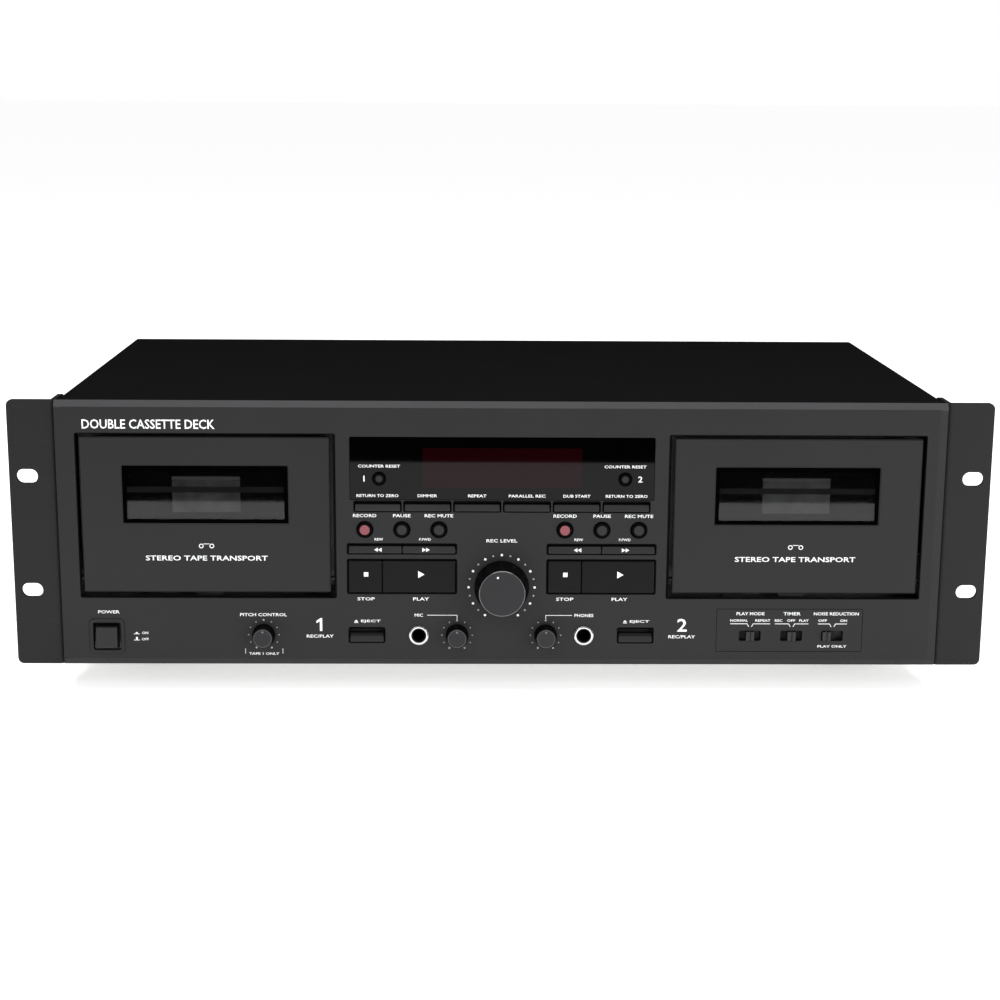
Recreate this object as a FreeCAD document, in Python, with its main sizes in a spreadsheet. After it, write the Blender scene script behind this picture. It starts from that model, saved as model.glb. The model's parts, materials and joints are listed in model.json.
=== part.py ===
import FreeCAD, Part
import os
import re
import Sketcher

# Rack-mounting twin cassette deck.
#
# Every sub-part is drawn from the panel datum: x to the right from the deck's
# centre, y to the rear from the front panel's face, z up from the panel's
# bottom edge. finish() then moves it to the frame: origin on the surface that
# the deck stands on, under the middle of its box. Millimetres and degrees.

DIMENSIONS = {
    # case and frame
    "rack_width": 482.6,
    "unit_height": 132.5,
    "foot_height": 12.5,
    "face_setback": 128.5,
    "case_width": 434.8,
    "case_back": 264.5,
    "wall": 1.2,
    "cover_bottom": 0.4,
    "cover_bend": 2.0,
    # front panel
    "panel_width": 436,
    "panel_thick": 3.0,
    "bevel_depth": 2.5,
    "top_bevel": 3.1,
    "bottom_bevel": 3.3,
    "side_strip": 4.0,
    "side_relief": 0.6,
    "rim_half_width": 215.5,
    "rim_bottom": 2.6,
    "rim_top": 130.8,
    "rim_depth": 11,
    "rim_wall": 2.0,
    "corner_round": 0.8,
    # rack ears
    "ear_face": 2.5,
    "ear_inner": 217.5,
    "ear_plate": 2.3,
    "ear_flange_back": 31.5,
    "ear_bend": 2.9,
    "ear_round": 3.0,
    "flange_round": 9.0,
    "rack_row_spacing": 57.15,
    "rack_column_spacing": 465.1,
    "slot_width": 7.0,
    "slot_length": 10.5,
    # cassette wells
    "well_x": 145.6,
    "door_width": 121.8,
    "door_low": 37.3,
    "door_height": 77.6,
    "door_thick": 3.0,
    "door_edge": 0.6,
    "well_side_gap": 1.8,
    "well_bottom_gap": 2.7,
    "well_top_gap": 1.4,
    "window_width": 81,
    "window_low": 72.0,
    "window_height": 28.6,
    "window_clearance": 0.3,
    "pane_front": 1.0,
    "pane_flange": 3.2,
    "pane_flange_thick": 1.2,
    "hinge_y": 6.0,
    "hinge_z": 43.0,
    "hinge_pin": 1.5,
    "holder_half_inside": 50.8,
    "holder_wall": 1.5,
    "holder_back": 19,
    "holder_top": 112,
    "holder_low": 40,
    "holder_lip": 5,
    "cassette_bottom": 47.5,
    "bar_height": 16,
    "ledge_length": 14.8,
    "pin_reach": 64.8,
    # tape mechanism
    "hub_spread": 21.25,
    "hub_z": 82,
    "hub_front": 9.5,
    "deck_front": 21,
    "deck_plate": 1.5,
    "deck_half_width": 65,
    "deck_bottom": 1.8,
    "deck_top": 118,
    "bracket_top": 56,
    "bracket_low": 34,
    "bracket_front": 4.2,
    "running_gap": 0.05,
    "spindle_shaft": 1.45,
    "spindle_core": 3.2,
    "spindle_fin": 4.7,
    "fin_thick": 1.2,
    "reel_table": 13,
    "reel_pulley": 11,
    "capstan_x": 26,
    "capstan_z": 55.25,
    "capstan_shaft": 1.25,
    "capstan_bearing": 5,
    "flywheel_radius": 24,
    "flywheel_web": 19,
    "flywheel_front": 31,
    "flywheel_back": 41,
    "bridge_front": 46,
    "carriage_low": 30,
    "carriage_top": 44,
    "carriage_half_width": 33,
    "carriage_front": 18.9,
    "head_front": 8.5,
    "roller_radius": 5,
    "roller_z": 42.2,
    "motor_radius": 14,
    # display
    "display_width": 149.8,
    "display_low": 84.0,
    "display_height": 31.3,
    "display_gap": 0.25,
    "display_front": 0.2,
    "display_thick": 2.0,
    "reset_x": 60.4,
    "reset_z": 94.6,
    "reset_hole": 3.5,
    "reset_cap": 2.9,
    # keys
    "key_flange_front": 3.4,
    "key_flange_thick": 1.2,
    "key_flange_below": 1.0,
    "key_flange_above": 1.6,
    "key_stem_back": 9.4,
    "stem_side": 4,
    "key_edge": 0.5,
    "cluster_x": 49.35,
    "menu_pitch": 24.5,
    "menu_width": 22.5,
    "menu_low": 77.9,
    "menu_opening": 5.1,
    "menu_key": 3.7,
    "side_gap": 0.35,
    "bar_low": 56.7,
    "wind_opening": 5.1,
    "wind_key": 3.9,
    "bar_width": 53.5,
    "play_low": 37.0,
    "play_opening": 17.0,
    "play_key": 16.1,
    "stop_width": 16.4,
    "round_pitch": 18.25,
    "round_z": 69.2,
    "round_hole": 4.3,
    "round_cap": 3.7,
    "eject_x": 67.0,
    "eject_low": 11.5,
    "eject_opening": 7.9,
    "eject_width": 17.6,
    "eject_key": 4.7,
    "power_x": -196.05,
    "power_low": 7.5,
    "power_opening_height": 14.1,
    "power_opening_width": 13.7,
    "power_key": 10.4,
    "switch_z": 15.5,
    "switch_slot_width": 10.9,
    "switch_slot_height": 5.3,
    "nub_width": 4.0,
    "nub_height": 4.5,
    # knobs
    "level_z": 40.1,
    "level_base": 13.5,
    "level_face": 11.1,
    "level_proud": 14.5,
    "level_shaft": 3.0,
    "level_bush": 4.5,
    "trim_x": 22.1,
    "trim_z": 15.6,
    "trim_base": 5.65,
    "trim_face": 4.3,
    "trim_proud": 8.0,
    "trim_shaft": 2.0,
    "trim_bush": 3.2,
    "pitch_x": -118.3,
    "knob_gap": 0.5,
    # sockets
    "jack_x": 41.15,
    "jack_bore": 3.2,
    "jack_ring": 4.8,
    "jack_back": 30,
    "phono_shell": 4.15,
    "phono_bore": 1.6,
    "phono_length": 9.0,
    "phono_plate": 2.0,
    "phono_row_pitch": 14,
    "phono_column_pitch": 14,
    "phono_z": 92,
    "inlet_x": -178,
    "inlet_z": 40,
    "inlet_depth": 18.5,
    # boards and transformer
    "key_board_front": 14,
    "board_thick": 1.6,
    "main_board_front": 80,
    "main_board_left": -100,
    "main_board_low": 8.8,
    "transformer_x": -160,
    "transformer_foot": 1.5,
    # feet, tray and rear panel
    "foot_radius": 13,
    "foot_x": 180,
    "foot_front_y": 64,
    "foot_rear_y": 236,
    "tray_front": 15.5,
    "tray_back": 261,
    "tray_low": 0.6,
    "tray_lip": 14,
    "tray_half_width": 216.0,
    "rear_front": 261.3,
    "rear_low": 2.2,
    "rear_top": 131.0,
    "rear_half_width": 215.9,
    "screw_head": 3.4,
    "screw_head_thick": 1.9,
    "screw_shank": 1.5,
    "screw_length": 9,
    "cover_screw_z": 8,
}

WELLS = {"1": "-well_x", "2": "well_x"}
CLUSTERS = {"1": "-cluster_x", "2": "cluster_x"}
MENU_KEYS = (
    "return_to_zero_button_1",
    "dimmer_button",
    "repeat_button",
    "parallel_record_button",
    "dub_start_button",
    "return_to_zero_button_2",
)
TRIM_KNOBS = {"pitch_knob": "pitch_x", "mic_knob": "-trim_x", "phones_knob": "trim_x"}
SWITCHES = {"play_mode_switch": "124.4", "timer_switch": "145.2", "noise_reduction_switch": "165.7"}
SWITCH_OFFSETS = {"play_mode_switch": "0", "timer_switch": "0", "noise_reduction_switch": "-2.9"}
COVER_SCREWS_Y = ("60", "150", "240")
EAR_SCREW_Y = "10"
EAR_SCREW_HEIGHTS = ("30", "102")
PHONO_BLOCKS = ("150", "192")
INLET_BLADES = (("-8", "-2"), ("6", "-2"), ("-1", "2"))
STANDOFFS = (("-95", "85"), ("-95", "235"), ("195", "85"), ("195", "235"))
TRAY_SCREW_Z = "8"
REAR_SCREWS = (
    ("-208", "120"),
    ("0", "124"),
    ("208", "120"),
    ("-208", TRAY_SCREW_Z),
    ("0", TRAY_SCREW_Z),
    ("208", TRAY_SCREW_Z),
)
SHEET_WORD = re.compile(r"[a-z][a-z_]*[a-z]")
TURN_TO = {
    "x": FreeCAD.Rotation(FreeCAD.Vector(0, 1, 0), 90),
    "y": FreeCAD.Rotation(FreeCAD.Vector(1, 0, 0), -90),
    "z": FreeCAD.Rotation(),
}

DOC = FreeCAD.newDocument("cassette_deck")
NODES = {}


# Document helpers


def make_sheet():
    """Put every driving dimension in a spreadsheet cell with an alias."""
    sheet = DOC.addObject("Spreadsheet::Sheet", "dims")
    for row, (alias, value) in enumerate(DIMENSIONS.items(), start=1):
        sheet.set(f"A{row}", alias)
        sheet.set(f"B{row}", str(value))
        sheet.setAlias(f"B{row}", alias)
    DOC.recompute()


def formula(text):
    """Turn the sheet's words in a sum into references to its cells."""
    return SHEET_WORD.sub(lambda word: cell(word.group(0)), str(text))


def cell(word):
    """A reference to a cell, or the word itself if it is a function such as sin."""
    return "dims." + word if word in DIMENSIONS else word


def bind(obj, path, text):
    """Drive one property from the sheet."""
    obj.setExpression(path, formula(text))


def place(obj, x, y, z):
    """Drive an object's position from the sheet."""
    bind(obj, "Placement.Base.x", x)
    bind(obj, "Placement.Base.y", y)
    bind(obj, "Placement.Base.z", z)


def finish(node, obj, x="0"):
    """Name a sub-part after its node and move it from the panel datum to the frame."""
    obj.Label = node
    place(obj, x, "-face_setback", "foot_height")
    NODES[node] = obj


# Primitives and booleans


def box(name, x, y, z):
    """A block from three (low side, size) pairs."""
    solid = DOC.addObject("Part::Box", name)
    for size, span in (("Length", x), ("Width", y), ("Height", z)):
        bind(solid, size, span[1])
    place(solid, x[0], y[0], z[0])
    return solid


def rod(name, axis, start, radius, length):
    """A cylinder from its start point along +x, +y or +z."""
    solid = DOC.addObject("Part::Cylinder", name)
    solid.Placement = FreeCAD.Placement(FreeCAD.Vector(), TURN_TO[axis])
    bind(solid, "Radius", radius)
    bind(solid, "Height", length)
    place(solid, *start)
    return solid


def taper(name, axis, start, radii, length):
    """A cone from its start point along +x, +y or +z."""
    solid = DOC.addObject("Part::Cone", name)
    solid.Placement = FreeCAD.Placement(FreeCAD.Vector(), TURN_TO[axis])
    bind(solid, "Radius1", radii[0])
    bind(solid, "Radius2", radii[1])
    bind(solid, "Height", length)
    place(solid, *start)
    return solid


def group(name, solids):
    """Separate solids that share one node."""
    compound = DOC.addObject("Part::Compound", name)
    compound.Links = solids
    return compound


def fuse(name, solids):
    """One solid from several that touch or overlap."""
    union = DOC.addObject("Part::MultiFuse", name)
    union.Shapes = solids
    union.Refine = True
    return union


def cut(name, base, tools):
    """A solid less its tools."""
    result = DOC.addObject("Part::Cut", name)
    result.Base = base
    result.Tool = tools[0] if len(tools) == 1 else group(name + "_tools", tools)
    return result


# PartDesign bodies


def new_body(name):
    """An empty body; finish() gives it its node's name."""
    return DOC.addObject("PartDesign::Body", name + "_body")


def sketch_on(body, role, name, offset="0"):
    """A sketch on one of the body's origin planes, lifted along its normal."""
    sketch = body.newObject("Sketcher::SketchObject", name)
    plane = next(item for item in body.Origin.OriginFeatures if item.Role == role)
    sketch.AttachmentSupport = [(plane, "")]
    sketch.MapMode = "FlatFace"
    bind(sketch, "AttachmentOffset.Base.z", offset)
    return sketch


def polygon(sketch, points):
    """A closed outline whose corners are each placed from the sketch's origin."""
    first = sketch.GeometryCount
    total = len(points)
    for number in range(total):
        start = FreeCAD.Vector(number, number**2, 0)
        end = FreeCAD.Vector(number + 1, (number + 1) ** 2, 0)
        sketch.addGeometry(Part.LineSegment(start, end), False)
    for number in range(total):
        follower = first + (number + 1) % total
        sketch.addConstraint(Sketcher.Constraint("Coincident", first + number, 2, follower, 1))
    for number, (across, up) in enumerate(points):
        pin_point(sketch, first + number, 1, across, up)


def pin_point(sketch, item, end, across, up):
    """Hold a sketch point at a distance across and up from the sketch's origin."""
    for kind, text in (("DistanceX", across), ("DistanceY", up)):
        index = sketch.addConstraint(Sketcher.Constraint(kind, -1, 1, item, end, 1.0 + item))
        bind(sketch, f"Constraints[{index}]", text)


def rectangle(sketch, across, up):
    """A rectangle from two (low side, size) pairs."""
    left, width = across
    low, height = up
    right, top = f"{left} + {width}", f"{low} + {height}"
    polygon(sketch, [(left, low), (right, low), (right, top), (left, top)])


def circle(sketch, across, up, radius):
    """A circle about a point."""
    item = sketch.addGeometry(Part.Circle(FreeCAD.Vector(1, 1, 0), FreeCAD.Vector(0, 0, 1), 1), False)
    pin_point(sketch, item, 3, across, up)
    index = sketch.addConstraint(Sketcher.Constraint("Radius", item, 1.0))
    bind(sketch, f"Constraints[{index}]", radius)


def pad(body, sketch, length, reverse=True, both_ways=False):
    """Extrude a sketch. On the XZ plane, reverse runs it to the rear."""
    feature = body.newObject("PartDesign::Pad", sketch.Name + "_pad")
    feature.Profile = sketch
    bind(feature, "Length", length)
    feature.Reversed = reverse
    if both_ways:
        feature.SideType = "Symmetric"
    DOC.recompute()
    return feature


def pocket(body, sketch, depth=None, reverse=False, both_ways=False):
    """Cut a sketch out of the body, right through if no depth is given."""
    before = body.Shape.Volume
    feature = body.newObject("PartDesign::Pocket", sketch.Name + "_pocket")
    feature.Profile = sketch
    if depth is None:
        feature.Type = "ThroughAll"
    else:
        bind(feature, "Length", depth)
    feature.Reversed = reverse
    if both_ways:
        feature.SideType = "Symmetric"
    DOC.recompute()
    if not body.Shape.Volume < before - 0.01:
        raise RuntimeError(f"{feature.Name} cuts nothing")
    return feature


def revolve(body, sketch):
    """Turn a sketch on the XY plane once round the body's y axis."""
    feature = body.newObject("PartDesign::Revolution", sketch.Name + "_turn")
    feature.Profile = sketch
    feature.ReferenceAxis = (sketch, ["V_Axis"])
    feature.Angle = 360
    DOC.recompute()
    return feature


def round_edges(body, radius, picked, kind="Fillet"):
    """Fillet or chamfer the edges of the body's tip that the test picks."""
    tip = body.Tip
    edges = [f"Edge{number}" for number, edge in enumerate(tip.Shape.Edges, start=1) if picked(edge)]
    feature = body.newObject(f"PartDesign::{kind}", f"{body.Name}_{kind.lower()}")
    feature.Base = (tip, edges)
    bind(feature, "Radius" if kind == "Fillet" else "Size", radius)
    DOC.recompute()
    return feature


def runs_along(edge, axis):
    """Whether a straight edge lies along the x, y or z axis."""
    spans = {"x": edge.BoundBox.XLength, "y": edge.BoundBox.YLength, "z": edge.BoundBox.ZLength}
    own = spans.pop(axis)
    return own > 0.1 and max(spans.values()) < 1e-6


def lies_before(edge, limit):
    """Whether all of an edge is further forward than a y value."""
    return edge.BoundBox.YMax < limit


# Case


def key_openings():
    """(left, width, low, height) of every rectangular key opening in the panel."""
    openings = []
    for number in range(6):
        left = f"({number} - 2.5) * menu_pitch - menu_width / 2 - side_gap"
        openings.append((left, "menu_width + 2 * side_gap", "menu_low", "menu_opening"))
    for middle in CLUSTERS.values():
        left = f"{middle} - bar_width / 2"
        openings.append((left, "bar_width", "bar_low", "wind_opening"))
        openings.append((left, "bar_width", "play_low", "play_opening"))
    for side in ("-eject_x", "eject_x"):
        openings.append((f"{side} - eject_width / 2", "eject_width", "eject_low", "eject_opening"))
    left = "power_x - power_opening_width / 2"
    openings.append((left, "power_opening_width", "power_low", "power_opening_height"))
    for middle in SWITCHES.values():
        left = f"{middle} - switch_slot_width / 2"
        low = "switch_z - switch_slot_height / 2"
        openings.append((left, "switch_slot_width", low, "switch_slot_height"))
    return openings


def panel_outline(body):
    """The plate with its bevelled top and bottom edges."""
    sketch = sketch_on(body, "YZ_Plane", "panel_side")
    bevel_top = "unit_height - top_bevel"
    outline = [
        ("0", "bottom_bevel"),
        ("bevel_depth", "0"),
        ("panel_thick", "0"),
        ("panel_thick", "unit_height"),
        ("bevel_depth", "unit_height"),
        ("0", bevel_top),
    ]
    polygon(sketch, outline)
    pad(body, sketch, "panel_width", reverse=False, both_ways=True)


def panel_rim(body):
    """The stiffening rim behind the plate, just inside the cover."""
    sketch = sketch_on(body, "XZ_Plane", "panel_rim", "-panel_thick")
    width = "2 * rim_half_width"
    rectangle(sketch, ("-rim_half_width", width), ("rim_bottom", "rim_top - rim_bottom"))
    inner = ("-rim_half_width + rim_wall", f"{width} - 2 * rim_wall")
    rectangle(sketch, inner, ("rim_bottom + rim_wall", "rim_top - rim_bottom - 2 * rim_wall"))
    pad(body, sketch, "rim_depth")


def panel_reliefs(body):
    """Shallow slopes down both side edges of the plate."""
    sketch = sketch_on(body, "XY_Plane", "panel_sides")
    for side in ("-1", "1"):
        edge = f"{side} * panel_width / 2"
        corner = [(edge, "-1"), (edge, "side_relief"), (f"{side} * (panel_width / 2 - side_strip)", "0")]
        polygon(sketch, corner + [(f"{side} * (panel_width / 2 - side_strip)", "-1")])
    pocket(body, sketch, both_ways=True)


def panel_rectangles(body):
    """The wells, the display window's opening and the key openings."""
    wells = sketch_on(body, "XZ_Plane", "panel_wells", "1")
    for middle in WELLS.values():
        across = (f"{middle} - door_width / 2 - well_side_gap", "door_width + 2 * well_side_gap")
        up = ("door_low - well_bottom_gap", "door_height + well_bottom_gap + well_top_gap")
        rectangle(wells, across, up)
    rectangle(wells, ("-display_width / 2", "display_width"), ("display_low", "display_height"))
    pocket(body, wells, "panel_thick + 2")
    keys = sketch_on(body, "XZ_Plane", "panel_keys", "1")
    for left, width, low, height in key_openings():
        rectangle(keys, (left, width), (low, height))
    pocket(body, keys, "panel_thick + 2")


def panel_rounds(body):
    """Round holes for keys, knob bushes and sockets, and the rim's screw holes."""
    holes = sketch_on(body, "XZ_Plane", "panel_holes", "1")
    for middle in CLUSTERS.values():
        for step in (-1, 0, 1):
            circle(holes, f"{middle} + {step} * round_pitch", "round_z", "round_hole")
    circle(holes, "0", "level_z", "level_bush")
    for middle in TRIM_KNOBS.values():
        circle(holes, middle, "trim_z", "trim_bush")
    for side in ("-jack_x", "jack_x"):
        circle(holes, side, "trim_z", "jack_ring")
    pocket(body, holes, "panel_thick + 2")
    screws = sketch_on(body, "YZ_Plane", "panel_screws")
    for height in EAR_SCREW_HEIGHTS:
        circle(screws, EAR_SCREW_Y, height, "screw_shank")
    pocket(body, screws, both_ways=True)


def front_panel():
    """The front panel: bevelled plate, rim and every opening."""
    body = new_body("front_panel")
    panel_outline(body)
    panel_rim(body)
    panel_reliefs(body)
    panel_rectangles(body)
    thick = DIMENSIONS["panel_thick"]
    round_edges(body, "corner_round", lambda edge: runs_along(edge, "y") and is_opening_corner(edge, thick))
    panel_rounds(body)
    finish("front_panel", body)


def is_opening_corner(edge, thick):
    """Whether a front-to-back edge of the plate belongs to an opening."""
    bounds = edge.BoundBox
    inside = abs(bounds.XMin) < DIMENSIONS["panel_width"] / 2 - 1
    return inside and is_near(bounds.YMin, 0) and is_near(bounds.YMax, thick)


def display_window():
    """The dark display window with holes for the two counter reset keys."""
    body = new_body("display_window")
    sketch = sketch_on(body, "XZ_Plane", "window_plate", "-display_front")
    across = ("-display_width / 2 + display_gap", "display_width - 2 * display_gap")
    rectangle(sketch, across, ("display_low + display_gap", "display_height - 2 * display_gap"))
    for side in ("-reset_x", "reset_x"):
        circle(sketch, side, "reset_z", "reset_hole")
    pad(body, sketch, "display_thick")
    round_edges(body, "corner_round", lambda edge: runs_along(edge, "y"))
    finish("display_window", body)


def top_cover():
    """The folded steel cover: a top and two sides."""
    body = new_body("top_cover")
    sketch = sketch_on(body, "XZ_Plane", "cover_fold", "-panel_thick")
    half, inner = "case_width / 2", "case_width / 2 - wall"
    outline = [
        (f"-{half}", "cover_bottom"),
        (f"-({inner})", "cover_bottom"),
        (f"-({inner})", "unit_height - wall"),
        (inner, "unit_height - wall"),
        (inner, "cover_bottom"),
        (half, "cover_bottom"),
        (half, "unit_height"),
        (f"-{half}", "unit_height"),
    ]
    polygon(sketch, outline)
    pad(body, sketch, "case_back - panel_thick")
    top = DIMENSIONS["unit_height"]
    round_edges(body, "cover_bend", lambda edge: runs_along(edge, "y") and edge.BoundBox.ZMin > top - 0.01)
    holes = sketch_on(body, "YZ_Plane", "cover_screws")
    for along in COVER_SCREWS_Y:
        circle(holes, along, "cover_screw_z", "screw_shank")
    for height in EAR_SCREW_HEIGHTS:
        circle(holes, EAR_SCREW_Y, height, "screw_shank")
    pocket(body, holes, both_ways=True)
    finish("top_cover", body)


def chassis_tray():
    """The floor pan with its side walls and floor vents."""
    body = new_body("chassis_tray")
    floor = sketch_on(body, "XY_Plane", "tray_outer", "tray_low")
    depth = "tray_back - tray_front"
    rectangle(floor, ("-tray_half_width", "2 * tray_half_width"), ("tray_front", depth))
    pad(body, floor, "tray_lip", reverse=False)
    inside = sketch_on(body, "XY_Plane", "tray_inner", "tray_low + tray_lip")
    across = ("-tray_half_width + wall", "2 * tray_half_width - 2 * wall")
    rectangle(inside, across, ("tray_front - 1", f"{depth} - wall + 1"))
    pocket(body, inside, "tray_lip - wall")
    holes = sketch_on(body, "YZ_Plane", "tray_screws")
    for along in COVER_SCREWS_Y:
        circle(holes, along, "cover_screw_z", "screw_shank")
    pocket(body, holes, both_ways=True)
    back_holes = sketch_on(body, "XZ_Plane", "tray_back_screws", "-tray_back - 1")
    for x, z in REAR_SCREWS:
        if z == TRAY_SCREW_Z:
            circle(back_holes, x, z, "screw_shank")
    pocket(body, back_holes, "wall + 2", reverse=True)
    vent = sketch_on(body, "XY_Plane", "tray_vent", "tray_low")
    rectangle(vent, ("-130", "4"), ("150", "50"))
    slots = pocket(body, vent, "wall + 1", reverse=True)
    repeat_along(body, slots, "X_Axis", 260, 27)
    finish("chassis_tray", body)


def repeat_along(body, feature, role, length, count):
    """Repeat a feature in a row along one of the body's axes."""
    before = body.Shape.Volume
    row = body.newObject("PartDesign::LinearPattern", feature.Name + "_row")
    row.Originals = [feature]
    axis = next(item for item in body.Origin.OriginFeatures if item.Role == role)
    row.Direction = (axis, [""])
    row.Length = length
    row.Occurrences = count
    body.Tip = row
    DOC.recompute()
    if not body.Shape.Volume < before - 0.01:
        raise RuntimeError(f"{row.Name} cuts nothing")


def rear_panel():
    """The rear plate with its socket openings and vents."""
    body = new_body("rear_panel")
    plate = sketch_on(body, "XZ_Plane", "rear_plate", "-rear_front")
    rectangle(plate, ("-rear_half_width", "2 * rear_half_width"), ("rear_low", "rear_top - rear_low"))
    for x, z in REAR_SCREWS:
        circle(plate, x, z, "screw_shank")
    for middle in PHONO_BLOCKS:
        across = f"{middle} - phono_column_pitch / 2 - 4.6"
        up = "phono_z - phono_row_pitch / 2 - 4.6"
        rectangle(plate, (across, "phono_column_pitch + 9.2"), (up, "phono_row_pitch + 9.2"))
    rectangle(plate, ("inlet_x - 13.7", "27.4"), ("inlet_z - 10.2", "20.4"))
    pad(body, plate, "wall")
    vent = sketch_on(body, "XZ_Plane", "rear_vent", "-rear_front")
    rectangle(vent, ("30", "3"), ("88", "30"))
    slots = pocket(body, vent, "wall + 1")
    repeat_along(body, slots, "X_Axis", 70, 11)
    finish("rear_panel", body)


def rack_ears():
    """Two folded brackets with a pair of slots each."""
    body = new_body("rack_ear")
    ear_fold(body)
    ear_slots(body)
    holes = sketch_on(body, "YZ_Plane", "ear_screws")
    for height in EAR_SCREW_HEIGHTS:
        circle(holes, EAR_SCREW_Y, height, "screw_shank")
    pocket(body, holes, "ear_inner + ear_plate + 1", reverse=True)
    mirror = DOC.addObject("Part::Mirroring", "left_ear")
    mirror.Source = body
    mirror.Normal = FreeCAD.Vector(1, 0, 0)
    finish("rack_ears", group("ears", [body, mirror]))


def ear_fold(body):
    """The angle of one ear, with its bend and its outer corners rounded."""
    fold = sketch_on(body, "XY_Plane", "ear_fold")
    outer = "rack_width / 2"
    outline = [
        ("ear_inner", "ear_face"),
        (outer, "ear_face"),
        (outer, "ear_face + ear_plate"),
        ("ear_inner + ear_plate", "ear_face + ear_plate"),
        ("ear_inner + ear_plate", "ear_flange_back"),
        ("ear_inner", "ear_flange_back"),
    ]
    polygon(fold, outline)
    pad(body, fold, "unit_height", reverse=False)
    inner, face = DIMENSIONS["ear_inner"], DIMENSIONS["ear_face"]
    half = DIMENSIONS["rack_width"] / 2
    back = DIMENSIONS["ear_flange_back"]
    round_edges(body, "ear_bend", lambda edge: runs_along(edge, "z") and at_corner(edge, inner, face))
    round_edges(body, "ear_round", lambda edge: runs_along(edge, "y") and is_near(edge.BoundBox.XMin, half))
    round_edges(body, "flange_round", lambda edge: ends_at(edge, back))


def ear_slots(body):
    """The pair of round-ended slots in one ear."""
    slots = sketch_on(body, "XZ_Plane", "ear_slots")
    for side in ("-1", "1"):
        low = f"unit_height / 2 + {side} * rack_row_spacing / 2 - slot_width / 2"
        across = ("rack_column_spacing / 2 - slot_length / 2", "slot_length")
        rectangle(slots, across, (low, "slot_width"))
    pocket(body, slots)
    slot_round = DIMENSIONS["slot_width"] / 2 - 0.005
    round_edges(body, str(slot_round), lambda edge: runs_along(edge, "y") and is_in_slot(edge))


def is_in_slot(edge):
    """Whether an edge is one of a slot's, through the ear's plate."""
    low = DIMENSIONS["rack_column_spacing"] / 2 - DIMENSIONS["slot_length"] / 2 - 0.01
    high = low + DIMENSIONS["slot_length"] + 0.02
    return low < edge.BoundBox.XMin < high and edge.BoundBox.YMin > 2


def ends_at(edge, back):
    """Whether an edge runs along x at one depth."""
    return runs_along(edge, "x") and is_near(edge.BoundBox.YMin, back)


def is_near(value, other):
    """Whether two lengths are the same."""
    return abs(value - other) < 1e-6


def at_corner(edge, x, y):
    """Whether a vertical edge stands at one plan position."""
    return is_near(edge.BoundBox.XMin, x) and is_near(edge.BoundBox.YMin, y)


def feet():
    """Four round feet under the tray."""
    solids = []
    for side in ("-foot_x", "foot_x"):
        for along in ("foot_front_y", "foot_rear_y"):
            base = (side, along, "-foot_height")
            rubber = rod("foot_rubber", "z", base, "foot_radius - 2", "2")
            shell_start = (side, along, "-foot_height + 2")
            radii = ("foot_radius", "foot_radius - 1")
            shell = taper("foot_shell", "z", shell_start, radii, "foot_height + tray_low - 2")
            solids.append(fuse("foot", [rubber, shell]))
    finish("feet", group("foot_set", solids))


def screw(axis, head, away):
    """A pan-head screw seated at a point, its head towards + or - along the axis."""
    outward, inward = {"+": ("0", "-screw_length"), "-": ("-screw_head_thick", "0")}[away]
    cap = rod("screw_cap", axis, shifted(head, axis, outward), "screw_head", "screw_head_thick")
    stem = rod("screw_stem", axis, shifted(head, axis, inward), "screw_shank", "screw_length")
    return fuse("screw", [cap, stem])


def shifted(point, axis, distance):
    """A point moved along one axis."""
    return tuple(f"{value} + {distance}" if name == axis else value for name, value in zip("xyz", point))


def case_screws():
    """The cover, ear and rear panel screws."""
    solids = []
    for away in ("-", "+"):
        for along in COVER_SCREWS_Y:
            solids.append(screw("x", (f"{away}case_width / 2", along, "cover_screw_z"), away))
        for height in EAR_SCREW_HEIGHTS:
            outer = f"{away}(ear_inner + ear_plate)"
            solids.append(screw("x", (outer, EAR_SCREW_Y, height), away))
    for x, z in REAR_SCREWS:
        solids.append(screw("y", (x, "rear_front + wall", z), "+"))
    finish("case_screws", group("screw_set", solids))


# Cassette doors


def cassette_door(side, middle):
    """One door with its window opening."""
    body = new_body("door_" + side)
    face = sketch_on(body, "XZ_Plane", "door_face_" + side)
    rectangle(face, ("-door_width / 2", "door_width"), ("door_low", "door_height"))
    pad(body, face, "door_thick")
    window = sketch_on(body, "XZ_Plane", "door_hole_" + side, "1")
    rectangle(window, ("-window_width / 2", "window_width"), ("window_low", "window_height"))
    pocket(body, window, "door_thick + 2")
    round_edges(body, "corner_round", lambda edge: runs_along(edge, "y"))
    round_edges(body, "door_edge", lambda edge: lies_before(edge, 0.01), "Chamfer")
    finish(f"cassette_door_{side}", body, middle)


def door_window(side, middle):
    """The pane, which fills the door's opening and laps behind it."""
    gap = "window_clearance"
    left = f"-window_width / 2 + {gap}"
    low = f"window_low + {gap}"
    width, height = f"window_width - 2 * {gap}", f"window_height - 2 * {gap}"
    depth = ("pane_front", "pane_flange - pane_front + pane_flange_thick")
    pane = box("pane", (left, width), depth, (low, height))
    flange = box(
        "pane_flange",
        ("-window_width / 2 - 3", "window_width + 6"),
        ("door_thick", "pane_flange_thick"),
        ("window_low - 3", "window_height + 6"),
    )
    finish(f"door_window_{side}", fuse("window_" + side, [pane, flange]), middle)


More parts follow.
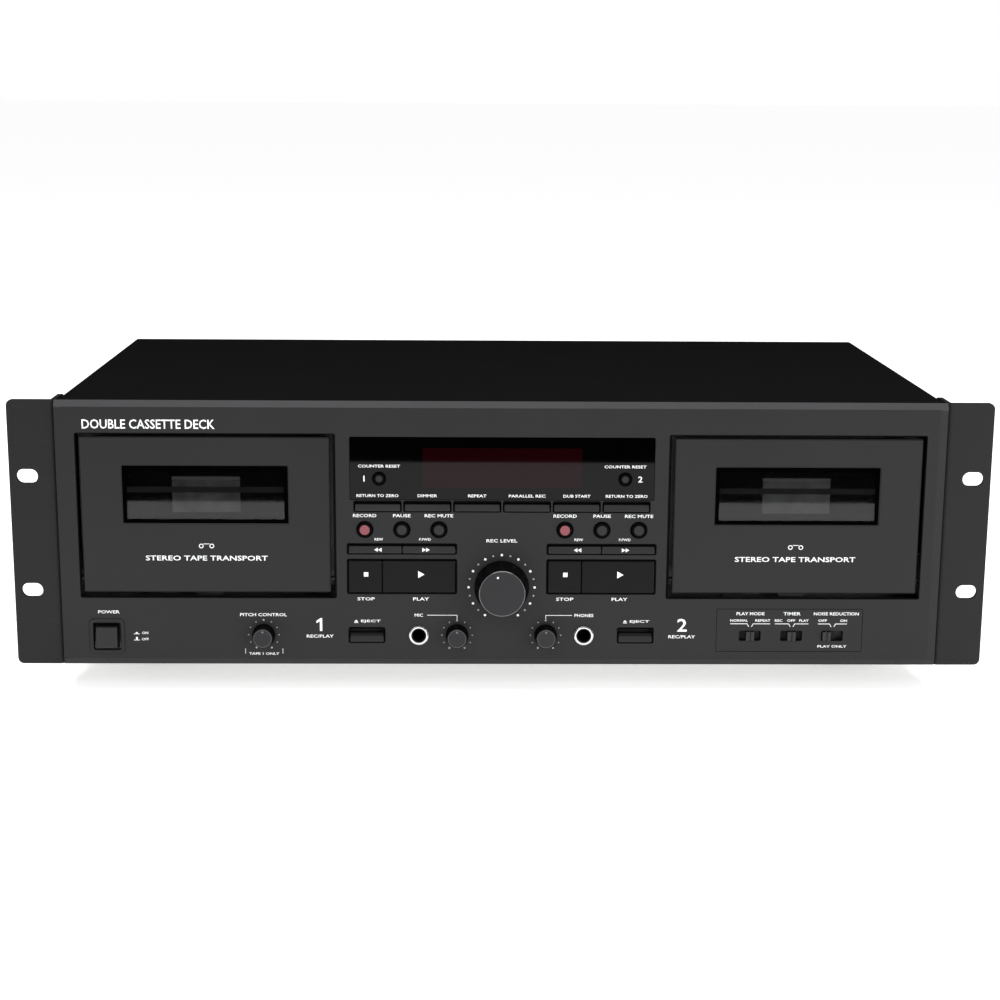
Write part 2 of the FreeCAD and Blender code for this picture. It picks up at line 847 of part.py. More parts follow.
def cassette_holder(side, middle):
    """The carrier behind the door: two channels, a bar, two ledges and the hinge pins."""
    solids = []
    wall_height = ("holder_low", "holder_top - holder_low")
    depth = ("door_thick", "holder_back - door_thick")
    bar = ("door_thick", "holder_wall")
    lip_height = ("cassette_bottom", "holder_top - cassette_bottom")
    inside = "2 * holder_half_inside"
    solids.append(box("bar", ("-holder_half_inside", inside), bar, ("cassette_bottom - 2", "bar_height")))
    for hand in ("-1", "1"):
        wall_left = f"{hand} * (holder_half_inside + holder_wall / 2) - holder_wall / 2"
        solids.append(box("channel", (wall_left, "holder_wall"), depth, wall_height))
        lip_left = f"{hand} * (holder_half_inside - holder_lip / 2) - holder_lip / 2"
        lip_depth = ("holder_back - holder_wall", "holder_wall")
        solids.append(box("lip", (lip_left, "holder_lip"), lip_depth, lip_height))
        ledge_left = f"{hand} * (holder_half_inside - ledge_length / 2) - ledge_length / 2"
        solids.append(box("ledge", (ledge_left, "ledge_length"), depth, ("cassette_bottom - 2", "2")))
        reach = "pin_reach - holder_half_inside"
        pin_left = f"{hand} * (holder_half_inside + ({reach}) / 2) - ({reach}) / 2"
        solids.append(rod("hinge_pin", "x", (pin_left, "hinge_y", "hinge_z"), "hinge_pin", reach))
    finish(f"cassette_holder_{side}", fuse("holder_" + side, solids), middle)


# Keys, switches and knobs


def key_body(name, width, height, slope, proud="0"):
    """A key about its own datum: middle of its width, bottom edge, panel face."""
    body = new_body(name)
    side = sketch_on(body, "YZ_Plane", name + "_side")
    front, back = f"-({proud})", "key_flange_front"
    outline = [(front, "0"), (back, "0"), (back, height), (f"{front} + {slope}", height)]
    polygon(side, outline)
    pad(body, side, width, reverse=False, both_ways=True)
    lean = DIMENSIONS["key_flange_front"] - 0.1
    round_edges(body, "key_edge", lambda edge: lies_before(edge, lean) or runs_along(edge, "y"))
    flange = sketch_on(body, "XZ_Plane", name + "_flange", "-key_flange_front")
    flange_height = f"{height} + key_flange_below + key_flange_above"
    rectangle(flange, (f"-({width}) / 2", width), ("-key_flange_below", flange_height))
    pad(body, flange, "key_flange_thick")
    stem = sketch_on(body, "XZ_Plane", name + "_stem", "-(key_flange_front + key_flange_thick)")
    stem_low = f"({height}) / 2 - stem_side / 2"
    rectangle(stem, ("-stem_side / 2", "stem_side"), (stem_low, "stem_side"))
    pad(body, stem, "key_stem_back - key_flange_front - key_flange_thick")
    return body


def place_key(node, body, x, low):
    """Name a key's body and set it in the panel."""
    body.Label = node
    place(body, x, "-face_setback", f"foot_height + {low}")
    NODES[node] = body


def menu_keys():
    """The row of six keys under the display."""
    for number, node in enumerate(MENU_KEYS):
        body = key_body(node, "menu_width", "menu_key", "0.9")
        place_key(node, body, f"({number} - 2.5) * menu_pitch", "menu_low + 0.35")


def transport_keys(side, middle):
    """The winding bars and the stop and play keys of one deck."""
    wind = "(bar_width - 3 * side_gap) / 2"
    for hand, name in (("-1", "rewind"), ("1", "fast_forward")):
        node = f"{name}_button_{side}"
        body = key_body(node, wind, "wind_key", "0.9")
        place_key(node, body, f"{middle} + {hand} * ({wind} + side_gap) / 2", "bar_low + 0.35")
    left = f"{middle} - bar_width / 2 + side_gap"
    play_width = "bar_width - stop_width - 3 * side_gap"
    for name, width, x in (
        ("stop", "stop_width", f"{left} + stop_width / 2"),
        ("play", play_width, f"{left} + stop_width + side_gap + ({play_width}) / 2"),
    ):
        node = f"{name}_button_{side}"
        body = key_body(node, width, "play_key", "0.3", "0.5")
        place_key(node, body, x, "play_low + 0.4")


def eject_and_power_keys():
    """The two eject keys and the latching power key."""
    for side, x in (("1", "-eject_x"), ("2", "eject_x")):
        node = f"eject_button_{side}"
        body = key_body(node, "eject_width - 2 * side_gap", "eject_key", "1.2")
        place_key(node, body, x, "eject_low + 0.35")
    body = key_body("power_button", "power_key", "power_key", "0.4", "3")
    place_key("power_button", body, "power_x", "power_low + (power_opening_height - power_key) / 2")


def round_key(node, x, z, radius, proud, flange="1.2"):
    """A round key: domed cap, flange behind the panel and a stem."""
    body = new_body(node)
    sketch = sketch_on(body, "XY_Plane", node + "_half")
    flange_radius = f"{radius} + {flange}"
    flange_back = "key_flange_front + key_flange_thick"
    outline = [
        ("0", f"-({proud})"),
        (radius, f"-({proud})"),
        (radius, "key_flange_front"),
        (flange_radius, "key_flange_front"),
        (flange_radius, flange_back),
        ("stem_side / 2", flange_back),
        ("stem_side / 2", "key_stem_back"),
        ("0", "key_stem_back"),
    ]
    polygon(sketch, outline)
    revolve(body, sketch)
    round_edges(body, "0.8", lambda edge: lies_before(edge, 0.01) and edge.Length > 5)
    body.Label = node
    place(body, x, "-face_setback", f"foot_height + {z}")
    NODES[node] = body


def round_keys():
    """Record, pause and record-mute keys of both decks, and the counter resets."""
    for side, middle in CLUSTERS.items():
        for step, name in ((-1, "record"), (0, "pause"), (1, "record_mute")):
            x = f"{middle} + {step} * round_pitch"
            round_key(f"{name}_button_{side}", x, "round_z", "round_cap", "1.4")
    for side, x in (("1", "-reset_x"), ("2", "reset_x")):
        round_key(f"counter_reset_button_{side}", x, "reset_z", "reset_cap", "0.6")


def slide_switch(node, x, offset):
    """A slide switch's nub and the carrier that covers its slot from behind."""
    middle = f"{x} + {offset}"
    depth = ("-1.4", "key_flange_front + 1.4")
    nub_low = "switch_z - nub_height / 2"
    nub = box("nub", (f"{middle} - nub_width / 2", "nub_width"), depth, (nub_low, "nub_height"))
    waist = box("waist", (f"{middle} - 0.5", "1"), ("-1.5", "1"), (nub_low, "nub_height"))
    carrier = box(
        "carrier",
        (f"{middle} - 5.2", "10.4"),
        ("key_flange_front", "key_flange_thick"),
        ("switch_z - 4", "8"),
    )
    finish(node, fuse(node + "_slider", [cut(node + "_nub", nub, [waist]), carrier]))


def knob(node, x, z, sizes, pointer):
    """A turned knob on its own shaft, with a dimple as its pointer."""
    base, face, proud, shaft = sizes
    body = new_body(node)
    sketch = sketch_on(body, "XY_Plane", node + "_half")
    floor = f"-({proud}) + 2.4"
    outline = [
        ("0", f"-({proud})"),
        (face, f"-({proud})"),
        (f"{face} + 0.5", f"-({proud}) + 0.6"),
        (base, "-knob_gap"),
        (f"{base} - 1.1", "-knob_gap"),
        (f"{face} - 0.9", floor),
        (f"{shaft} + 1.2", floor),
        (f"{shaft} + 1.2", "-knob_gap"),
        (shaft, "-knob_gap"),
        (shaft, floor),
        ("0", floor),
    ]
    polygon(sketch, outline)
    revolve(body, sketch)
    dimple = sketch_on(body, "XZ_Plane", node + "_dimple", proud)
    circle(dimple, f"-{face} * 0.75 * sin({pointer})", f"{face} * 0.75 * cos({pointer})", "0.6")
    pocket(body, dimple, "0.3")
    place(body, x, "0", z)
    stem = rod(node + "_shaft", "y", (x, f"{floor}", z), shaft, f"{proud} - 2.4 + 12")
    finish(node, group(node + "_parts", [body, stem]))


def knobs():
    """The record level knob and the three small knobs."""
    level = ("level_base", "level_face", "level_proud", "level_shaft")
    knob("record_level_knob", "0", "level_z", level, "15")
    small = ("trim_base", "trim_face", "trim_proud", "trim_shaft")
    for node, x in TRIM_KNOBS.items():
        knob(node, x, "trim_z", small, "0")


# Tape mechanism


def spindle(node, x):
    """A reel spindle: shaft, finned hub, reel table and drive pulley."""
    plate_front = "deck_front - 0.6"
    centre = (x, "hub_front", "hub_z")
    solids = [
        rod("hub", "y", centre, "spindle_core", f"{plate_front} - hub_front"),
        rod("table", "y", (x, f"{plate_front} - 1.8", "hub_z"), "reel_table", "1.8"),
        rod("axle", "y", (x, f"{plate_front} - 1", "hub_z"), "spindle_shaft", "10"),
        rod("pulley", "y", (x, "deck_front + deck_plate + 1.5", "hub_z"), "reel_pulley", "4"),
    ]
    fin_depth = ("hub_front + 0.8", f"{plate_front} - hub_front - 1.5")
    solids += [spindle_fin(x, fin_depth, degrees) for degrees in (0, 60, 120)]
    finish(node, fuse(node + "_solid", solids))


def spindle_fin(x, depth, degrees):
    """One flat fin right across a spindle's hub, turned about the hub's axis."""
    fin = box("fin", ("-spindle_fin", "2 * spindle_fin"), depth, ("-fin_thick / 2", "fin_thick"))
    turned = FreeCAD.Rotation(FreeCAD.Vector(0, 1, 0), degrees)
    fin.Placement = FreeCAD.Placement(FreeCAD.Vector(), turned)
    turn = f"{degrees} * 1deg"
    bind(fin, "Placement.Base.x", f"{x} - spindle_fin * cos({turn}) - fin_thick / 2 * sin({turn})")
    bind(fin, "Placement.Base.z", f"hub_z + spindle_fin * sin({turn}) - fin_thick / 2 * cos({turn})")
    return fin


def capstan_flywheel(side, middle):
    """The capstan shaft with its webbed flywheel."""
    x = f"{middle} + capstan_x"
    shaft_front = (x, "head_front + 1", "capstan_z")
    shaft = rod("capstan", "y", shaft_front, "capstan_shaft", "bridge_front - head_front")
    span = "flywheel_back - flywheel_front"
    wheel = rod("wheel", "y", (x, "flywheel_front", "capstan_z"), "flywheel_radius", span)
    front = rod("front_web", "y", (x, "flywheel_front", "capstan_z"), "flywheel_web", "3")
    back = rod("back_web", "y", (x, "flywheel_back - 3", "capstan_z"), "flywheel_web", "3")
    rim = cut(f"rim_{side}", wheel, [front, back])
    finish(f"capstan_flywheel_{side}", fuse(f"flywheel_{side}", [rim, shaft]))


def head_carriage(side, middle):
    """The sliding plate with the heads, and the pinch roller on its pin."""
    plate_depth = ("carriage_front", "1.5")
    plate = box(
        "plate",
        (f"{middle} - carriage_half_width", "2 * carriage_half_width"),
        plate_depth,
        ("carriage_low", "carriage_top - carriage_low"),
    )
    depth = ("head_front", "carriage_front - head_front")
    play_head = box("play_head", (f"{middle} - 6.5", "13"), depth, ("carriage_top - 10", "12"))
    erase_head = box("erase_head", (f"{middle} - 24", "8"), depth, ("carriage_top - 9", "11"))
    roller_x = f"{middle} + capstan_x"
    pin = rod("roller_pin", "y", (roller_x, "head_front", "roller_z"), "1", "carriage_front - head_front")
    carriage = fuse(f"carriage_{side}", [plate, play_head, erase_head, pin])
    tyre = rod("tyre", "y", (roller_x, "head_front + 0.5", "roller_z"), "roller_radius", "7")
    bore = rod("tyre_bore", "y", (roller_x, "head_front", "roller_z"), "1 + running_gap", "8")
    roller = cut(f"roller_{side}", tyre, [bore])
    finish(f"head_carriage_{side}", group(f"carriage_parts_{side}", [carriage, roller]))


def frame_plate(side, middle):
    """One mechanism's plate, hinge brackets, bearing housing and capstan bridge."""
    left = f"{middle} - deck_half_width"
    plate_back = "deck_front + deck_plate"
    capstan = f"{middle} + capstan_x"
    across = (left, "2 * deck_half_width")
    plate_height = ("deck_bottom", "deck_top - deck_bottom")
    bracket_height = ("bracket_low", "bracket_top - bracket_low")
    solids = [
        box("plate", across, ("deck_front", "deck_plate"), plate_height),
        box("foot", across, ("deck_front", "12"), ("deck_bottom", "deck_plate")),
        rod("bearing", "y", (capstan, plate_back, "capstan_z"), "capstan_bearing", "7"),
        box("bridge", (f"{capstan} - 31", "62"), ("bridge_front", "deck_plate"), ("capstan_z - 8", "16")),
    ]
    for hand in ("-1", "1"):
        bracket = f"{middle} + {hand} * (deck_half_width - deck_plate / 2) - deck_plate / 2"
        bracket_depth = ("bracket_front", "deck_front - bracket_front")
        solids.append(box("bracket", (bracket, "deck_plate"), bracket_depth, bracket_height))
        post = (f"{capstan} + {hand} * 28", plate_back, "capstan_z")
        solids.append(rod("post", "y", post, "2", f"bridge_front - {plate_back}"))
    return fuse(f"frame_solid_{side}", solids)


def frame_bores(side, middle):
    """The running bores for one mechanism's shafts and hinge pins."""
    before_plate = "deck_front - 1"
    capstan = (f"{middle} + capstan_x", before_plate, "capstan_z")
    capstan_bore = "capstan_shaft + running_gap"
    shaft_bore = "spindle_shaft + running_gap"
    bores = [rod("capstan_bore", "y", capstan, capstan_bore, "bridge_front + 3 - deck_front")]
    for hand in ("-1", "1"):
        spot = (f"{middle} + {hand} * hub_spread", before_plate, "hub_z")
        bores.append(rod("spindle_bore", "y", spot, shaft_bore, "deck_plate + 2"))
    pin = (f"{middle} - deck_half_width - 1", "hinge_y", "hinge_z")
    bores.append(rod("pin_bore", "x", pin, "hinge_pin + running_gap", "2 * deck_half_width + 2"))
    return bores


def mechanism_frames():
    """Both mechanisms' frames, each with its capstan and reel motors."""
    solids = []
    for side, middle in WELLS.items():
        solids.append(cut(f"frame_{side}", frame_plate(side, middle), frame_bores(side, middle)))
        back = "deck_front + deck_plate"
        solids.append(rod("capstan_motor", "y", (f"{middle} - 38", back, "32"), "motor_radius", "24"))
        solids.append(rod("reel_motor", "y", (middle, back, "100"), "motor_radius - 2", "20"))
    finish("mechanism_frames", group("frames", solids))


# Electrics and sockets


def tact_switches():
    """(x, z) of the switch behind each light key."""
    menu_middle = "menu_low + 0.35 + menu_key / 2"
    wind_middle = "bar_low + 0.35 + wind_key / 2"
    play_middle = "play_low + 0.4 + play_key / 2"
    wind = "(bar_width - 3 * side_gap) / 2"
    play_width = "bar_width - stop_width - 3 * side_gap"
    spots = [(f"({number} - 2.5) * menu_pitch", menu_middle) for number in range(6)]
    for middle in CLUSTERS.values():
        left = f"{middle} - bar_width / 2 + side_gap"
        spots += [(f"{middle} + {step} * round_pitch", "round_z") for step in (-1, 0, 1)]
        spots += [(f"{middle} + {hand} * ({wind} + side_gap) / 2", wind_middle) for hand in (-1, 1)]
        spots.append((f"{left} + stop_width / 2", play_middle))
        spots.append((f"{left} + stop_width + side_gap + ({play_width}) / 2", play_middle))
    spots += [("-reset_x", "reset_z"), ("reset_x", "reset_z")]
    return spots


def potentiometer(x, z, shaft, bush, side):
    """A knob's control: a square body with the bush that carries the shaft."""
    body = box("pot", (f"{x} - {side} / 2", side), ("panel_thick + 1.2", "8"), (f"{z} - {side} / 2", side))
    neck = rod("neck", "y", (x, "0.6", z), f"{bush} - 0.1", "panel_thick + 1.4")
    bore = rod("pot_bore", "y", (x, "0", z), f"{shaft} + running_gap", "13")
    return cut("control", fuse("control_solid", [body, neck]), [bore])


def boards():
    """The key, display and main boards, with the display tube and the cooling fin."""
    behind_keys = ("key_board_front", "board_thick")
    main_depth = ("main_board_front", "160")
    return [
        box("key_board", ("-77", "154"), behind_keys, ("56", "26")),
        box("left_board", ("-77", "57"), behind_keys, ("30", "26")),
        box("right_board", ("20", "57"), behind_keys, ("30", "26")),
        box("display_board", ("-75", "150"), behind_keys, ("83", "34")),
        box("display_tube", ("-42", "84"), ("5", "5"), ("88", "24")),
        box("main_board", ("main_board_left", "300"), main_depth, ("main_board_low", "board_thick")),
        box("regulator_fin", ("60", "70"), ("200", "3"), ("main_board_low + board_thick", "45")),
    ]


def board_parts():
    """The push switches, capacitors, standoffs and slide switches on the boards."""
    parts = []
    for x, z in tact_switches():
        parts.append(box("switch", (f"{x} - 3", "6"), ("key_board_front - 2.6", "2.6"), (f"{z} - 3", "6")))
    for number in range(5):
        base = (f"-80 + {number} * 24", "215", "main_board_low + board_thick")
        parts.append(rod("capacitor", "z", base, f"9 - {number}", f"34 - 4 * {number}"))
    for x, y in STANDOFFS:
        parts.append(rod("standoff", "z", (x, y, "deck_bottom"), "3", "main_board_low - deck_bottom"))
    for x in SWITCHES.values():
        parts.append(box("slide_body", (f"{x} - 8", "16"), ("5", "6"), ("switch_z - 5", "10")))
    return parts


def circuit_boards():
    """The boards with everything mounted on them, and the knobs' controls."""
    solids = boards() + board_parts()
    solids.append(potentiometer("0", "level_z", "level_shaft", "level_bush", "20"))
    for x in TRIM_KNOBS.values():
        solids.append(potentiometer(x, "trim_z", "trim_shaft", "trim_bush", "11"))
    finish("circuit_boards", group("boards", solids))


def front_jacks():
    """The microphone and headphone sockets."""
    solids = []
    for x in ("-jack_x", "jack_x"):
        bush = rod("bush", "y", (x, "-1", "trim_z"), "jack_ring", "panel_thick + 1")
        case_depth = ("panel_thick", "jack_back - panel_thick")
        case = box("jack_case", (f"{x} - 7", "14"), case_depth, ("trim_z - 7.5", "15"))
        bore = rod("jack_hole", "y", (x, "-2", "trim_z"), "jack_bore", "jack_back")
        solids.append(cut("jack", fuse("jack_solid", [bush, case]), [bore]))
    finish("front_jacks", group("jacks", solids))


def phono_jacks():
    """Two blocks of four phono sockets on the rear panel."""
    solids = []
    face = "rear_front + wall"
    for middle in PHONO_BLOCKS:
        width, height = "phono_column_pitch + 18", "phono_row_pitch + 16"
        across = (f"{middle} - ({width}) / 2", width)
        up = (f"phono_z - ({height}) / 2", height)
        block = [box("phono_plate", across, (face, "phono_plate"), up)]
        body_width = "phono_column_pitch + 8"
        body_height = "phono_row_pitch + 8"
        across = (f"{middle} - ({body_width}) / 2", body_width)
        up = (f"phono_z - ({body_height}) / 2", body_height)
        block.append(box("phono_body", across, (f"{face} - 12", "12"), up))
        bores = []
        for column in (-1, 1):
            for row in (-1, 1):
                x = f"{middle} + {column} * phono_column_pitch / 2"
                z = f"phono_z + {row} * phono_row_pitch / 2"
                shell_length = "phono_length - phono_plate"
                block.append(rod("shell", "y", (x, f"{face} + phono_plate", z), "phono_shell", shell_length))
                bores.append(rod("phono_hole", "y", (x, f"{face} - 2", z), "phono_bore", "phono_length + 3"))
        solids.append(cut("phono", fuse("phono_solid", block), bores))
    finish("phono_jacks", group("phonos", solids))


def mains_inlet():
    """The three-pin mains inlet: flanged body, recess and blades."""
    face = "rear_front + wall"
    mouth = f"{face} + 2"
    flange = box("inlet_flange", ("inlet_x - 16", "32"), (face, "2"), ("inlet_z - 13", "26"))
    shell_depth = (f"{mouth} - inlet_depth", "inlet_depth - 2")
    shell = box("inlet_shell", ("inlet_x - 13.5", "27"), shell_depth, ("inlet_z - 10", "20"))
    recess_depth = (f"{mouth} - inlet_depth + 2", "inlet_depth")
    recess = box("inlet_recess", ("inlet_x - 12", "24"), recess_depth, ("inlet_z - 8.2", "16.4"))
    shape = cut("inlet_box", fuse("inlet_solid", [flange, shell]), [recess])
    solids = [shape]
    blade_depth = (f"{mouth} - inlet_depth", "inlet_depth - 3")
    for across, up in INLET_BLADES:
        solids.append(box("blade", (f"inlet_x + {across}", "2"), blade_depth, (f"inlet_z + {up}", "4")))
    finish("mains_inlet", fuse("inlet", solids))


def power_transformer():
    """The mains transformer: laminated core, coil and mounting foot."""
    core_low = ("deck_bottom + transformer_foot", "56")
    solids = [
        box("core", ("transformer_x - 33", "66"), ("180", "24"), core_low),
        box("coil", ("transformer_x - 22", "44"), ("168", "48"), ("deck_bottom + 12", "35")),
        box("mounting", ("transformer_x - 42", "84"), ("176", "32"), ("deck_bottom", "transformer_foot")),
    ]
    finish("power_transformer", fuse("transformer", solids))


# Assembly


def build():
    """Build every sub-part."""
    make_sheet()
    front_panel()
    display_window()
    top_cover()
    chassis_tray()
    rear_panel()
    rack_ears()
    feet()
    case_screws()
    for side, middle in WELLS.items():
        cassette_door(side, middle)
        door_window(side, middle)
        cassette_holder(side, middle)
        spindle(f"supply_spindle_{side}", f"{middle} - hub_spread")
        spindle(f"takeup_spindle_{side}", f"{middle} + hub_spread")
        capstan_flywheel(side, middle)
        head_carriage(side, middle)
    for side, middle in CLUSTERS.items():
        transport_keys(side, middle)
    menu_keys()
    round_keys()
    eject_and_power_keys()
    for node, x in SWITCHES.items():
        slide_switch(node, x, SWITCH_OFFSETS[node])
    knobs()
    mechanism_frames()
    circuit_boards()
    front_jacks()
    phono_jacks()
    mains_inlet()
    power_transformer()


def spans_of(shape):
    """A shape's extent along x, y and z, for the log."""
    bounds = shape.BoundBox
    spans = ((bounds.XMin, bounds.XMax), (bounds.YMin, bounds.YMax), (bounds.ZMin, bounds.ZMax))
    return ", ".join(f"{low:.1f}..{high:.1f}" for low, high in spans)


def check_and_export():
    """Refuse a failed or empty sub-part, then write each one's STEP file."""
    DOC.recompute()
    for item in DOC.Objects:
        if "Invalid" in item.State or "Error" in item.State:
            raise RuntimeError(f"{item.Name} ({item.Label}) failed: {item.State}")
    for node, item in NODES.items():
        if item.Shape.isNull() or not item.Shape.isValid():
            raise RuntimeError(f"{node} has no valid shape")
        if item.Label != node:
            raise RuntimeError(f"{node} is labelled {item.Label}")
    os.makedirs("parts", exist_ok=True)
    for node, item in NODES.items():
        item.Shape.exportStep(f"parts/{node}.step")
        print(f"{node}: {spans_of(item.Shape)}, {len(item.Shape.Solids)} solid(s)")


build()
check_and_export()
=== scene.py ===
"""The looks of a rack-mounted twin cassette deck, built around its fixed frame.

Metres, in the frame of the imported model: x to the deck's right as seen from the
front, y to the rear, z up from the surface that the deck stands on.
"""

import json
import logging
import math
from dataclasses import dataclass, field
from enum import Enum
from typing import Callable, Sequence

import bmesh
import bpy
from mathutils import Matrix, Vector


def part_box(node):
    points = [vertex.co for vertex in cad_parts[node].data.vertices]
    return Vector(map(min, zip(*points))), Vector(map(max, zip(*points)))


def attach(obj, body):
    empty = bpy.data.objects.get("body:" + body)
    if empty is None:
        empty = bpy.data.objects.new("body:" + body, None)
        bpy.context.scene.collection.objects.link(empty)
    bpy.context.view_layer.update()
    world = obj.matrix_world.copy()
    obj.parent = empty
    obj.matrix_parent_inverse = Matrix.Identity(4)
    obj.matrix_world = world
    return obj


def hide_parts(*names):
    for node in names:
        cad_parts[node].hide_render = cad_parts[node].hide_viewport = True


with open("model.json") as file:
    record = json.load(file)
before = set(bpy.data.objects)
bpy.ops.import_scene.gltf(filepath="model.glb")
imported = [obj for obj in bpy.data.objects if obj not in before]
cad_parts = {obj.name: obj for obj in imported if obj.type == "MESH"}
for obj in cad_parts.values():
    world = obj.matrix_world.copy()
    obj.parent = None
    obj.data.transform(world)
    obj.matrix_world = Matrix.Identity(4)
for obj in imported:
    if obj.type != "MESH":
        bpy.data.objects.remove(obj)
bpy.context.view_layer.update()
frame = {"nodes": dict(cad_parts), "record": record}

LOG = logging.getLogger("cassette_deck")
MM = 0.001
CASE = "case"
PANEL = "front_panel"
KNOBS = ("record_level_knob", "pitch_knob", "mic_knob", "phones_knob")
JACK_INSET = 7.0 * MM
INK_PROUD = 0.03 * MM
INK_SUNK = 0.02 * MM
CLOUD_RANGE = (0.3, 0.7)
CLOUDS_PER_METRE = 22.0
PATCHES_PER_METRE = 45.0
SCUFFS_PER_METRE = 70.0

Colour = tuple[float, float, float]
Point = tuple[float, float]
Outline = list[Point]


class Side(Enum):
    """The two decks, as their nodes are numbered."""

    LEFT = "1"
    RIGHT = "2"


def panel_face() -> float:
    """The y of the front panel's face."""
    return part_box(PANEL)[0].y


# Finishes


class ShaderTree:
    """A node material while it is put together."""

    def __init__(self, name: str) -> None:
        """Start a material with one shader.

        Args:
            name: The material's name.
        """
        self.material = bpy.data.materials.new(name)
        self.material.use_nodes = True
        self.tree = self.material.node_tree
        self.tree.nodes.clear()
        self.shader = self.tree.nodes.new("ShaderNodeBsdfPrincipled")
        output = self.tree.nodes.new("ShaderNodeOutputMaterial")
        self.tree.links.new(self.shader.outputs["BSDF"], output.inputs["Surface"])
        self.place = self.tree.nodes.new("ShaderNodeTexCoord").outputs["Object"]

    def feed(self, socket: bpy.types.NodeSocket, value: object) -> None:
        """Link a socket to another, or set its own value.

        Args:
            socket: The input socket.
            value: An output socket, or the value to set.
        """
        if isinstance(value, bpy.types.NodeSocket):
            self.tree.links.new(value, socket)
        else:
            socket.default_value = value

    def maths(self, operation: str, first: object, second: object = 0.0) -> bpy.types.NodeSocket:
        """One Math node.

        Args:
            operation: Blender's name of the operation.
            first: A socket or a number.
            second: A socket or a number.

        Returns:
            The result's socket.
        """
        node = self.tree.nodes.new("ShaderNodeMath")
        node.operation = operation
        self.feed(node.inputs[0], first)
        self.feed(node.inputs[1], second)
        return node.outputs[0]

    def vector(self, operation: str, first: object, second: object) -> bpy.types.Node:
        """One Vector Math node.

        Args:
            operation: Blender's name of the operation.
            first: A socket or three numbers.
            second: A socket or three numbers.

        Returns:
            The node, whose outputs the caller picks.
        """
        node = self.tree.nodes.new("ShaderNodeVectorMath")
        node.operation = operation
        self.feed(node.inputs[0], first)
        self.feed(node.inputs[1], second)
        return node

    def noise(
        self, per_metre: float, stretch: Colour = (1, 1, 1), detail: float = 3.0
    ) -> bpy.types.NodeSocket:
        """A cloud pattern fixed to the piece.

        Args:
            per_metre: How many clouds there are in a metre.
            stretch: How much finer the pattern is along each axis.
            detail: How many finer layers it has.

        Returns:
            The pattern's socket, 0 to 1 and mostly near 0.5.
        """
        node = self.tree.nodes.new("ShaderNodeTexNoise")
        moved = self.vector("MULTIPLY", self.place, stretch).outputs[0]
        self.feed(node.inputs["Vector"], moved)
        self.feed(node.inputs["Scale"], per_metre)
        self.feed(node.inputs["Detail"], detail)
        return node.outputs[0]

    def spread(self, value: bpy.types.NodeSocket, low: float, high: float) -> bpy.types.NodeSocket:
        """Carry a cloud pattern's middle range over to another range.

        Args:
            value: The pattern.
            low: What its darker clouds become.
            high: What its lighter clouds become.

        Returns:
            The carried pattern.
        """
        node = self.tree.nodes.new("ShaderNodeMapRange")
        start, stop = CLOUD_RANGE
        for name, number in (("From Min", start), ("From Max", stop), ("To Min", low), ("To Max", high)):
            node.inputs[name].default_value = number
        self.feed(node.inputs["Value"], value)
        return node.outputs["Result"]

    def above(self, value: bpy.types.NodeSocket, start: float, full: float) -> bpy.types.NodeSocket:
        """0 below a start value and 1 above a full value.

        Args:
            value: The pattern.
            start: Where it leaves 0.
            full: Where it reaches 1.

        Returns:
            The mask.
        """
        node = self.tree.nodes.new("ShaderNodeMapRange")
        node.inputs["From Min"].default_value = start
        node.inputs["From Max"].default_value = full
        self.feed(node.inputs["Value"], value)
        return node.outputs["Result"]

    def blend(self, share: object, first: object, second: object) -> bpy.types.NodeSocket:
        """Mix two colours.

        Args:
            share: How much of the second there is, a socket or a number.
            first: A socket or three numbers.
            second: A socket or three numbers.

        Returns:
            The mixed colour.
        """
        node = self.tree.nodes.new("ShaderNodeMix")
        node.data_type = "RGBA"
        self.feed(node.inputs[0], share)
        for socket, value in ((node.inputs[6], first), (node.inputs[7], second)):
            self.feed(socket, (*value, 1.0) if isinstance(value, tuple) else value)
        return node.outputs[2]

    def slide(self, share: object, first: object, second: object) -> bpy.types.NodeSocket:
        """Mix two numbers.

        Args:
            share: How much of the second there is, a socket or a number.
            first: A socket or a number.
            second: A socket or a number.

        Returns:
            The mixed number.
        """
        node = self.tree.nodes.new("ShaderNodeMix")
        self.feed(node.inputs[0], share)
        self.feed(node.inputs[2], first)
        self.feed(node.inputs[3], second)
        return node.outputs[0]


@dataclass(frozen=True)
class Zone:
    """A part of a piece that has a finish of its own.

    A block fills its box; a rod is the round bar that just fits the box, and
    runs along y.
    """

    low: Colour
    high: Colour
    rod: bool = False

    def mask(self, tree: ShaderTree) -> bpy.types.NodeSocket:
        """Where the zone lies.

        Args:
            tree: The material's tree.

        Returns:
            1 inside the zone and 0 outside it.
        """
        low, high = Vector(self.low), Vector(self.high)
        half = (high - low) / 2
        from_middle = tree.vector("SUBTRACT", tree.place, tuple((low + high) / 2)).outputs[0]
        scaled = tree.vector("DIVIDE", from_middle, tuple(half)).outputs[0]
        parts = tree.tree.nodes.new("ShaderNodeSeparateXYZ")
        tree.feed(parts.inputs[0], scaled)
        along = tree.maths("ABSOLUTE", parts.outputs[1])
        if self.rod:
            flat = tree.vector("MULTIPLY", scaled, (1, 0, 1)).outputs[0]
            across = tree.vector("LENGTH", flat, (0, 0, 0)).outputs["Value"]
        else:
            wide = tree.maths("ABSOLUTE", parts.outputs[0])
            across = tree.maths("MAXIMUM", wide, tree.maths("ABSOLUTE", parts.outputs[2]))
        return tree.maths("LESS_THAN", tree.maths("MAXIMUM", across, along), 1.0)


